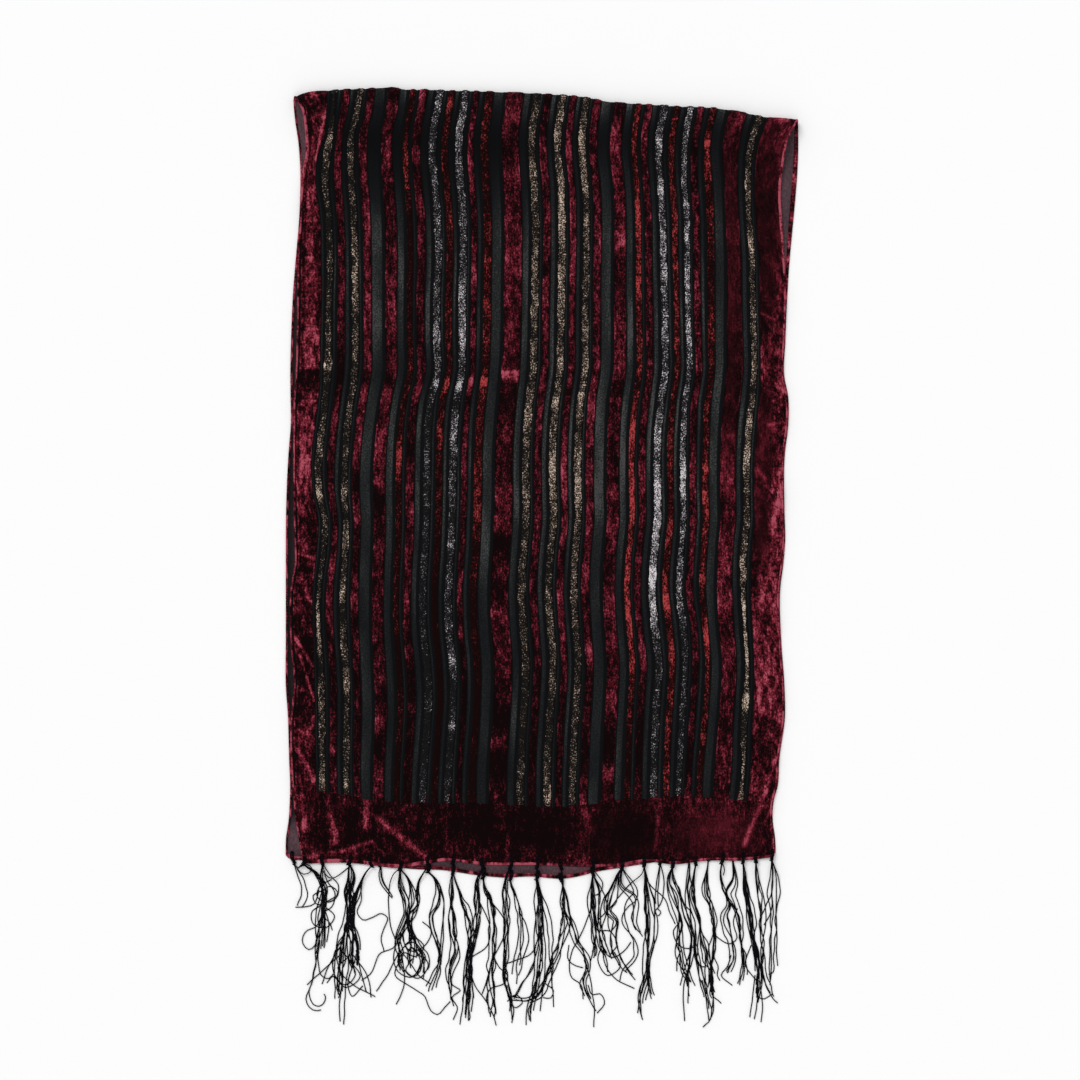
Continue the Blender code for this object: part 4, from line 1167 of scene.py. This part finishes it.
def tube_faces(paths, points, sides):
    """Quads round each tube, and its two flat ends."""
    quads = grid_faces(points, sides, closed=True)
    starts = np.arange(paths) * points * sides
    walls = (quads[None] + starts[:, None, None]).reshape(-1, 4)
    first = np.arange(sides)
    near = first[None] + starts[:, None]
    far = first[::-1][None] + starts[:, None] + (points - 1) * sides
    return [walls, near, far]


def rim(name, across, down, height, radius, seed, rim_painted_sheen, spread):
    """A rolled edge: a tube along the given line, with a slow and a fine unevenness, and its painted sheen.

    spread is how many times wider than high it is, and the argument before it how much painted sheen its
    pile gets.
    """
    path = np.stack([across, down, height], axis=-1)[None]
    ring = tube_points(path, radius, RIM_SIDES)
    wider = np.broadcast_to(spread, across.shape)[None, :, None, None]
    ring[..., :2] = path[:, :, None, :2] + (ring[..., :2] - path[:, :, None, :2]) * wider
    size = (len(across), RIM_SIDES)
    along = np.broadcast_to(down[:, None], size)
    wobble = uneven(seed, ring[0, :, :, 0], along, 5.0, 7.0)
    speck = uneven(seed + 1, ring[0, :, :, 0], along, 1.5, 1.8)
    ring[0, :, :, 2] = np.maximum(ring[0, :, :, 2] + 0.3 * wobble + 0.2 * speck, 0.05)
    points = to_metres(ring[..., 0], ring[..., 1], ring[..., 2]).reshape(-1, 3)
    nap_sheen = np.broadcast_to(rim_painted_sheen, across.shape)[:, None] + 0.9 * wobble + 0.7 * speck
    around = np.broadcast_to(np.arange(RIM_SIDES) * 1.0, size)
    piece = put(name, points, tube_faces(1, *size), [velvet_end], uv=cloth_uv(around, along),
                values={"nap_sheen": nap_sheen.ravel(), "depth": np.ones(nap_sheen.size)})
    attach(piece, "root")
    return piece


# The side rims look wider where the open roll turns them up, and the front ones get more painted
# highlight there: with each side of the upper stretch stand the middle of that turn on the way down, and
# its half length
front_along = np.concatenate([
    np.linspace(-0.6, 0.0, 12, endpoint=False), np.linspace(0.0, 2.0, FRONT_RIM_STEPS)])
for side, rest_edge, turned_at, turn_reach in (
        ("left", EDGE_RESTS[0], 150.0, 50.0), ("right", EDGE_RESTS[1], 200.0, 90.0)):
    across, down, height = cloth_point(
        np.full(len(front_along), rest_edge), front_along, 0 * front_along)
    turned = bell(down, turned_at, turn_reach)
    rim("rolled_edge_front_" + side, across, down, height, 0.95, 11,
                    0.68 + 0.2 * turned, 1.0 + 0.7 * turned)
back_along = np.linspace(-2.0, -0.6, BACK_RIM_STEPS)
for side, rest_edge, turned_share in (("left", EDGE_RESTS[0], 0.0), ("right", EDGE_RESTS[1], 1.0)):
    across, down, height = cloth_point(np.full(len(back_along), rest_edge), back_along, 0 * back_along)
    turned = bell(down, 190.0, 80.0) * turned_share
    rim("rolled_edge_back_" + side, across - 1.3 * turned, down, height, 1.0, 12,
                    0.6 - 0.06 * turned, 1.2 + 1.3 * turned)

# The hems, of which the upper one is bare, wider and given more painted sheen on the left
hem_rest = np.linspace(*EDGE_RESTS, HEM_STEPS)
for side, along_at, rim_painted_sheen, bare_share in (("front", 2.0, 0.56, 1.0), ("back", -2.0, 0.6, 0.0)):
    across, down, height = cloth_point(hem_rest, np.full(len(hem_rest), along_at), 0 * hem_rest)
    bare = np.clip((470.0 - across) / 60.0, 0.0, 1.0) * bare_share
    rim("rolled_hem_" + side, across, down - 0.5 + 1.1 * bare, height, 1.0, 13,
                    rim_painted_sheen + 0.1 * bare, 1.9 + 0.3 * bare)

# Fringe
# Black yarn drawn through both hems and knotted by hand, about 15 cm long. Each knot holds a
# bundle of thin twisted threads, which lie loose on the surface, spread, curl and tangle.
yarn = Finish("black_yarn", roughness=0.8, specular=0.04)
yarn_twist = yarn.noise(900.0, 900.0, detail=1.0)
yarn_colour = yarn.add("ValToRGB", {"Fac": yarn_twist}, stops=(
    (0.3, (0.0012, 0.0010, 0.0018)),
    (0.7, (0.0060, 0.0050, 0.0078)),
))
yarn_end = yarn.end(yarn_colour, yarn_twist, 0.0003)
THREAD_RADIUS = 0.54
THREAD_SIDES = 4
THREAD_STEP = 3.5
KNOT_RADIUS = 0.6
KNOT_STEPS = 48
KNOT_TURNS = 3
FRONT_KNOT_HEIGHT = 3.7
BACK_KNOT_HEIGHT = 1.7

# A thread whose route starts this near a knot, and over this line, starts at the knot's neck
KNOT_REACH = 8.0
BELOW_KNOTS = 884.0
NECK_DROP = 3.0

# Each tassel: the CAD node's number, where its knot lies across, and its bundles, with their number
# of threads, their spread and their route by places across and down
FRONT_TASSELS = (
    (1, 303.5, (
        (5, 1.6, ((305, 862), (318, 875), (323, 886), (322, 915), (320, 940), (317.5, 958))),
        (2, 1.2, ((305, 862), (319, 877), (323, 890), (321, 930), (316, 965), (311, 985), (310, 1000),
                  (314, 1006), (319, 1007), (325, 1003), (327, 997), (325, 990))),
        (1, 0.5, ((320, 940), (318, 960), (322, 977), (328, 979), (335, 973))),
        (1, 0.5, ((303, 862), (298, 868), (303, 874), (311, 872), (312, 866), (306, 863))),
    )),
    (2, 322.6, (
        (3, 2.2, ((323, 862), (322, 878), (325, 892), (320, 915), (320, 938))),
        (1, 0.5, ((324, 866), (331, 876), (338, 884), (337, 897), (328, 902), (317, 896), (321, 886),
                  (332, 880))),
        (1, 0.5, ((323, 868), (328, 882), (335, 893), (331, 908), (322, 914), (330, 922), (333, 930))),
        (1, 0.5, ((323, 890), (313, 896), (317, 904), (328, 900), (337, 893), (330, 887), (322, 893))),
        (1, 0.5, ((319, 890), (317, 898), (315, 903), (305, 907), (295.5, 907.5))),
        (1, 0.5, ((322, 905), (312, 912), (314, 924), (327, 926), (335, 916), (328, 907))),
        (1, 0.5, ((322, 915), (316, 927), (306, 932), (303, 942), (309, 949), (316, 944), (318, 935))),
        (1, 0.5, ((323, 905), (329, 925), (327, 942))),
    )),
    (3, 349.4, (
        (6, 1.8, ((350, 862), (347.5, 893), (348, 915), (344, 930), (340, 955), (339, 980), (339, 1003.5))),
        (2, 1.0, ((348, 915), (345, 945), (346, 975), (342, 1000), (342, 1027))),
        (1, 0.5, ((345, 935), (334, 955), (333, 970), (345, 985), (356, 975), (350, 958))),
        (1, 0.5, ((344, 940), (330, 965), (322, 984))),
        (1, 0.5, ((346, 930), (353, 952), (338, 968), (351, 983), (375, 997))),
        (1, 0.5, ((341, 950), (352, 963), (360, 976), (346, 987), (332, 976), (327, 983))),
        (1, 0.5, ((340, 955), (324, 970), (307.5, 985))),
        (1, 0.5, ((323, 871), (331, 878), (342, 872), (349, 866))),
    )),
    (4, 371.7, (
        (6, 1.3, ((373, 858), (366, 872), (360, 886), (353, 908), (350, 922), (355, 935), (358, 950),
                  (356, 970))),
        (1, 0.5, ((363, 876), (361, 885), (361, 900), (357, 913), (363, 920), (372, 917), (381, 912.5),
                  (388, 917), (385, 928), (382, 938), (383.5, 952))),
        (1, 0.5, ((356, 950), (362, 975), (367, 992))),
        (1, 0.5, ((355, 960), (348, 985), (352, 996), (362, 985))),
    )),
    (5, 400.4, (
        (5, 2.0, ((398, 868), (400, 885), (406, 902), (408, 914), (400, 940), (402, 950), (405, 970))),
        (1, 0.5, ((397, 868), (395, 872), (389, 885), (388, 905), (392, 930), (395, 945), (380, 953),
                  (371, 975), (362, 981))),
        (2, 1.5, ((404, 930), (396, 950), (398, 968), (412, 975), (420, 962), (412, 945), (402, 955))),
        (1, 0.5, ((400, 950), (388, 972), (376, 991))),
        (1, 0.5, ((405, 945), (415, 938), (424, 946), (416, 957), (404, 952), (397, 960), (403, 972))),
        (1, 0.5, ((398, 948), (408, 960), (418, 975), (430, 984))),
        (1, 0.5, ((402, 955), (404, 985), (396.5, 1004.5))),
    )),
    (6, 428.0, (
        (5, 1.8, ((427, 866), (425, 870), (419, 880), (417, 892), (417, 905), (410, 920), (414, 940),
                  (424, 958), (420, 985))),
        (1, 0.5, ((411, 920), (403, 938), (410, 950), (424, 945), (430, 930), (422, 922))),
        (1, 0.5, ((418, 950), (428, 965), (418, 978), (405, 970), (412, 958))),
    )),
    (7, 453.0, (
        (5, 1.6, ((453, 866), (452, 895), (453, 925), (453.5, 950), (449, 970), (450, 985), (452, 1014))),
        (1, 0.5, ((453, 915), (455, 935), (460, 955), (453, 985), (461, 990), (452, 997), (458, 1008),
                  (454, 1020))),
    )),
    (8, 483.0, (
        (6, 1.7, ((483, 868), (478, 878), (478, 900), (476, 925), (470, 955), (468, 985), (462, 1027))),
        (1, 0.5, ((479, 900), (491, 930), (488, 945), (472, 957))),
        (1, 0.5, ((474, 945), (471, 965), (475, 985), (487, 1003))),
    )),
    (9, 510.5, (
        (5, 1.5, ((510, 868), (507, 874), (506, 915), (506, 955), (505, 980), (510, 998), (509, 1027))),
        (1, 0.5, ((506, 950), (505, 963), (518, 959), (529, 955), (536, 947))),
        (1, 0.5, ((507, 985), (508, 996), (516, 1008), (523, 1002), (516, 995), (508, 1002))),
    )),
    (10, 537.0, (
        (6, 1.8, ((537, 868), (537, 880), (539, 900), (540, 925), (538, 965), (532, 999), (531, 1027))),
        (2, 1.0, ((538, 905), (536, 925), (533, 965), (522, 985), (514, 1000))),
        (1, 0.5, ((534, 985), (528, 1005), (527, 1025))),
    )),
    (11, 561.0, (
        (5, 1.6, ((562, 868), (563, 885), (564, 905), (565, 920), (558, 948), (553, 960), (545, 980),
                  (537, 995), (527, 1001), (508, 1000))),
        (1, 0.5, ((553, 962), (545, 984), (553, 991), (551, 997), (543, 997))),
    )),
    (12, 593.0, (
        (5, 1.8, ((593, 866), (592, 895), (595, 943), (592, 958), (588, 967))),
        (2, 1.0, ((593, 895), (596, 930), (600, 948), (607, 957))),
        (1, 0.5, ((594, 868), (596, 873), (603, 884), (598, 895), (593, 896))),
    )),
    (13, 622.0, (
        (4, 2.6, ((621, 866), (620, 870), (614, 887), (609, 911), (617, 920), (614, 935), (622, 965),
                  (637, 982))),
        (3, 2.2, ((622, 868), (620, 885), (633, 900), (636, 925), (645, 938))),
        (2, 1.5, ((622, 870), (634, 895), (628, 903), (624, 920), (636, 942), (638, 955), (624, 973),
                  (622, 983))),
        (2, 2.0, ((621, 868), (616, 880), (606, 900), (604, 925), (612, 950))),
    )),
    (14, 644.0, (
        (6, 1.9, ((644, 864), (645, 885), (646, 905), (649, 920), (646, 950), (645, 975), (640, 1003),
                  (644, 1021))),
        (1, 0.5, ((644, 866), (643, 871), (628, 885), (610, 909), (600, 920))),
        (1, 0.5, ((645, 975), (641, 995), (638, 1013))),
    )),
    (15, 672.5, (
        (5, 1.8, ((666, 864), (668, 880), (672, 895), (680, 920), (680, 945), (688, 978), (694, 993))),
        (1, 0.5, ((678, 910), (680, 920), (673, 932), (680, 946), (688, 948), (695, 945))),
        (1, 0.5, ((681, 950), (677, 960), (677, 971))),
    )),
    (16, 695.5, (
        (5, 1.6, ((695, 864), (694, 875), (693, 890), (699, 925), (705, 955), (711, 980), (710, 995),
                  (721.5, 1006))),
        (2, 1.0, ((709, 975), (713, 1000), (709, 1020), (702, 1028))),
    )),
    (17, 721.7, (
        (4, 1.6, ((720, 864), (720, 872), (721, 885), (727, 907), (725, 914), (731, 940), (733, 960),
                  (728, 972), (738, 974))),
        (1, 0.5, ((731, 955), (727, 967), (721, 975), (732, 985.5))),
        (1, 0.5, ((721, 864), (724, 869), (723, 875))),
    )),
    (18, 742.7, (
        (6, 1.1, ((743, 864), (746.5, 891), (751.6, 917), (753, 936), (759, 961), (758, 987), (756, 1003))),
        (4, 0.9, ((743, 864), (745, 891), (749, 917), (752, 940), (755, 961), (757, 975))),
        (1, 0.5, ((757, 975), (757, 1000), (754, 1019))),
        (1, 0.5, ((755, 975), (752, 1000), (749, 1017))),
        (1, 0.5, ((759, 980), (762, 1005), (761, 1022))),
        (1, 0.5, ((751, 945), (745, 965), (757, 982))),
        (1, 0.5, ((758, 980), (757, 995), (762, 999), (772, 994))),
    )),
    (19, 755.5, (
        (4, 1.4, ((755, 864), (758, 885), (761, 905), (762, 945), (768, 985), (776, 999), (780, 1002))),
    )),
    (20, 771.4, (
        (2, 1.2, ((773, 862), (773, 875), (771, 900), (762, 922), (757, 930))),
        (2, 1.0, ((773, 864), (775, 870), (776, 917), (776, 955), (773, 975), (767, 977))),
        (2, 1.2, ((772, 866), (771, 885), (770, 905), (771, 950), (771, 995))),
    )),
)
BACK_TASSELS = (
    (1, 293.5, (
        (2, 1.2, ((294, 860), (297, 870), (303, 885), (303, 897), (299, 907))),
        (1, 0.5, ((294, 860), (301, 858), (304, 864), (298, 868), (292, 864))),
    )),
    (2, 349.4, (
        (5, 1.6, ((351, 866), (354, 875), (351, 893), (350, 905), (353, 935), (352, 960), (356, 985))),
        (1, 0.5, ((353, 955), (366, 975), (370.5, 997.5))),
    )),
    (3, 381.0, (
        (1, 0.4, ((381, 866), (379, 873), (381, 883), (387, 891), (393, 897.5))),
        (1, 0.4, ((381, 866), (383, 880), (392, 897))),
        (1, 0.4, ((381, 868), (381, 876), (386, 888), (392, 896))),
    )),
    (4, 400.4, (
        (4, 1.6, ((401, 870), (406, 875), (411, 885), (413, 900), (408, 918), (411, 940), (410, 968))),
        (1, 0.5, ((403, 955), (395, 975), (408, 985), (418, 992), (424, 996), (432, 1012), (437, 1014),
                  (445, 1007), (450, 1001))),
    )),
    (5, 428.0, (
        (4, 1.6, ((430, 870), (436, 880), (439, 893), (436, 905), (429, 918), (431, 930), (439, 955),
                  (436, 975), (427, 1001))),
        (2, 1.0, ((431, 872), (437, 880), (443, 895), (444, 915), (440, 955), (435, 985))),
    )),
    (6, 453.0, (
        (5, 1.5, ((454, 872), (457, 885), (463, 900), (468, 915), (470, 935), (468, 960), (470, 985),
                  (468.5, 1027))),
    )),
    (7, 483.0, (
        (5, 1.6, ((483, 876), (484, 885), (490, 900), (493, 925), (493, 955), (491, 985), (495, 1027))),
        (1, 0.5, ((484, 882), (485, 893), (495, 905), (504, 920), (503, 935), (493, 960))),
        (1, 0.5, ((493, 955), (500, 968), (508, 975), (505, 983), (490, 990), (487, 1000), (493, 1012),
                  (497, 1025))),
        (1, 0.5, ((492, 960), (487, 980), (482, 994))),
    )),
    (8, 510.5, (
        (4, 1.6, ((510, 878), (511, 884), (516, 895), (522, 920), (520, 960), (516, 985))),
    )),
    (9, 537.0, (
        (2, 1.2, ((537, 878), (543, 905), (549, 925), (551, 955), (553, 1008))),
        (1, 0.5, ((540, 890), (544, 930), (545, 970), (540, 1011))),
    )),
    (10, 561.0, (
        (4, 1.6, ((562, 878), (566, 895), (570, 915), (576, 940), (587, 967), (583, 980), (590, 1000),
                  (600, 1018))),
        (1, 0.5, ((584, 960), (588, 970), (594, 1003), (594, 1027))),
        (1, 0.5, ((593, 880), (591, 905), (585, 925), (570, 965), (572, 977), (581, 985), (583, 999))),
        (1, 0.5, ((569, 945), (568.6, 960), (576, 966), (583, 968))),
    )),
    (11, 593.0, (
        (3, 1.8, ((594, 874), (600, 890), (601, 910), (602, 930), (604, 955), (608, 972))),
        (1, 0.5, ((596, 920), (597, 930), (609, 930), (618, 945), (609, 955))),
        (1, 0.5, ((602, 940), (603, 948), (610, 957), (625, 950), (631, 942))),
        (1, 0.5, ((603, 950), (604, 960), (610, 972), (634, 989))),
        (1, 0.5, ((602, 945), (598, 960), (608, 975), (620, 966), (614, 952))),
        (1, 0.5, ((588, 985), (592, 995), (600, 994), (604, 1002), (597, 1013))),
    )),
    (12, 644.0, (
        (3, 1.2, ((645, 868), (648, 885), (652, 900), (653, 945), (650, 955), (650, 985), (656.5, 1011))),
        (1, 0.5, ((645, 870), (648, 882), (665, 900), (670, 913), (675, 924))),
    )),
    (13, 660.0, (
        (2, 0.8, ((660, 868), (657, 885), (656, 900), (657, 907))),
        (1, 0.5, ((660, 868), (663, 875), (659, 905), (654, 912), (658, 917), (662, 912), (657, 908))),
    )),
    (14, 672.5, (
        (4, 1.6, ((670, 868), (674, 880), (678, 888), (686, 915), (692, 930), (690, 960), (688, 985),
                  (692, 1006))),
        (1, 0.5, ((689, 965), (683, 990), (684, 1021))),
        (1, 0.5, ((689, 955), (684, 970), (679, 985))),
    )),
    (15, 689.0, (
        (4, 1.5, ((690, 868), (689, 893), (694, 923), (697, 958), (703, 985), (709, 1012))),
        (1, 0.5, ((694, 935), (694, 948), (700, 966), (706, 967))),
        (1, 0.5, ((702, 980), (706, 1000), (708, 1020))),
    )),
    (16, 708.4, (
        (5, 1.8, ((708, 866), (706, 880), (711, 912), (714, 930), (713, 960), (713, 980), (717, 992))),
        (1, 0.5, ((713, 925), (715, 934), (722, 940), (730, 943.5), (735, 940), (733, 920), (737, 908))),
    )),
    (17, 732.5, (
        (5, 1.8, ((733, 866), (733, 885), (729, 892), (736, 910), (742, 935), (744, 960), (738, 985))),
    )),
)


def bundle_paths(threads, spread, points, start_height, seed):
    """Paths of a bundle's threads: a smooth route, each thread's share of the spread, and waves.

    The bundle opens over 34 mm and sinks to the floor over 30 mm. Each of its threads ends at its
    own place over the last fifth of the route.
    """
    points = np.array(points, dtype=float)
    steps = np.linalg.norm(np.diff(points, axis=0), axis=1)
    reached = np.concatenate([[0.0], np.cumsum(steps)])
    count = max(6, round(reached[-1] / THREAD_STEP))
    number = np.arange(threads, dtype=float)[:, None]
    ends = 1.0 - 0.2 * np.random.default_rng(seed).random((threads, 1)) * (threads > 1)
    at = np.linspace(0.0, reached[-1], count) * ends
    route = np.stack([smooth_line(reached, points[:, i], at) for i in (0, 1)], axis=-1)
    heading = np.gradient(route, axis=1)
    heading /= np.linalg.norm(heading, axis=-1, keepdims=True)
    side = np.stack([-heading[..., 1], heading[..., 0]], axis=-1)
    share = (number - (threads - 1) / 2.0) / max(threads - 1, 1) * 2.0
    opened = np.clip(at / 34.0, 0.12, 1.0)
    slow = uneven(seed, number * 3.3, at, 1.0, 30.0)
    quick = uneven(seed + 1, number * 3.3, at, 1.0, 9.0)
    loose = min(1.0, spread / 1.6) if threads > 1 else 0.3
    away = opened * (1.3 * spread * share + loose * (7.5 * slow + 2.8 * quick))
    flat = route + side * away[..., None]
    height = start_height * (1.0 - ease(np.clip((at - 4.0) / 30.0, 0.0, 1.0)))
    hump = random_field(seed + 2, number * 3.3, at, 1.0, 13.0)
    height = np.maximum(height, THREAD_RADIUS) + 0.6 * hump * np.clip(at / 25.0, 0.0, 1.0)
    return np.concatenate([flat, height[..., None]], axis=-1)


def knot_paths(across, hem, height, seed):
    """Yarn drawn over the hem in three loops, and turned three times round its own neck."""
    slant, size, reach = np.random.default_rng(seed).random(3) - 0.5
    t = np.linspace(0.0, 1.0, KNOT_STEPS)
    angle = 2 * np.pi * KNOT_TURNS * t
    turns = np.stack([
        across + slant * (6.0 * t - 3.0) + (1.75 + 0.6 * size) * np.cos(angle),
        hem + 0.4 + 4.6 * t,
        height + 1.2 * np.sin(angle),
    ], axis=-1)
    loops = [
        np.stack([
            across - slant * 3.0 + shift * np.sin(np.pi * (0.15 + 0.75 * t)),
            hem - 6.0 - 4.0 * reach + (8.0 + 4.0 * reach) * t,
            height + 0.2 + 1.3 * np.sin(np.pi * t),
        ], axis=-1)
        for shift in (-1.5, 0.1, 1.6)
    ]
    return np.stack([turns, *loops])


def tassel(name, node, knot, bundles, hem, knot_height, seed):
    """One tassel: its knot and its threads, as tubes in one piece that stands for a CAD node."""
    points, faces, count = [], [], 0
    hem_down = line_down(hem, knot)
    groups = [(knot_paths(knot, hem_down, knot_height, seed + 5), KNOT_RADIUS)]
    for order, (threads, spread, route) in enumerate(bundles):
        from_hem = route[0][1] < BELOW_KNOTS
        if from_hem and abs(route[0][0] - knot) < KNOT_REACH:
            route = ((knot, hem_down + NECK_DROP), *route[1:])
        start = knot_height if from_hem else THREAD_RADIUS
        paths = bundle_paths(threads, spread, route, start, seed + 10 * order)
        groups.append((paths, THREAD_RADIUS))
    for paths, radius in groups:
        ring = tube_points(paths, radius, THREAD_SIDES)
        ring[..., 2] = np.maximum(ring[..., 2], 0.02)
        flat = ring.reshape(-1, 3)
        points.append(to_metres(flat[:, 0], flat[:, 1], flat[:, 2]))
        faces += [group + count for group in tube_faces(*ring.shape[:3])]
        count += len(flat)
    points = np.concatenate(points)
    piece = put(name, points, faces, [yarn_end], uv=points[:, :2] * np.array([1.0, -1.0]))
    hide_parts(node)
    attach(piece, "root")
    return piece


for side, table, hem, knot_height, seed in (
        ("front", FRONT_TASSELS, FRONT_HEM, FRONT_KNOT_HEIGHT, 0),
        ("back", BACK_TASSELS, BACK_HEM, BACK_KNOT_HEIGHT, 500)):
    for number, knot, bundles in table:
        tassel(f"fringe_{side}_{number:02d}", f"{side}_tassel_{number:02d}", knot,
                             bundles, hem, knot_height, 1000 * number + seed)
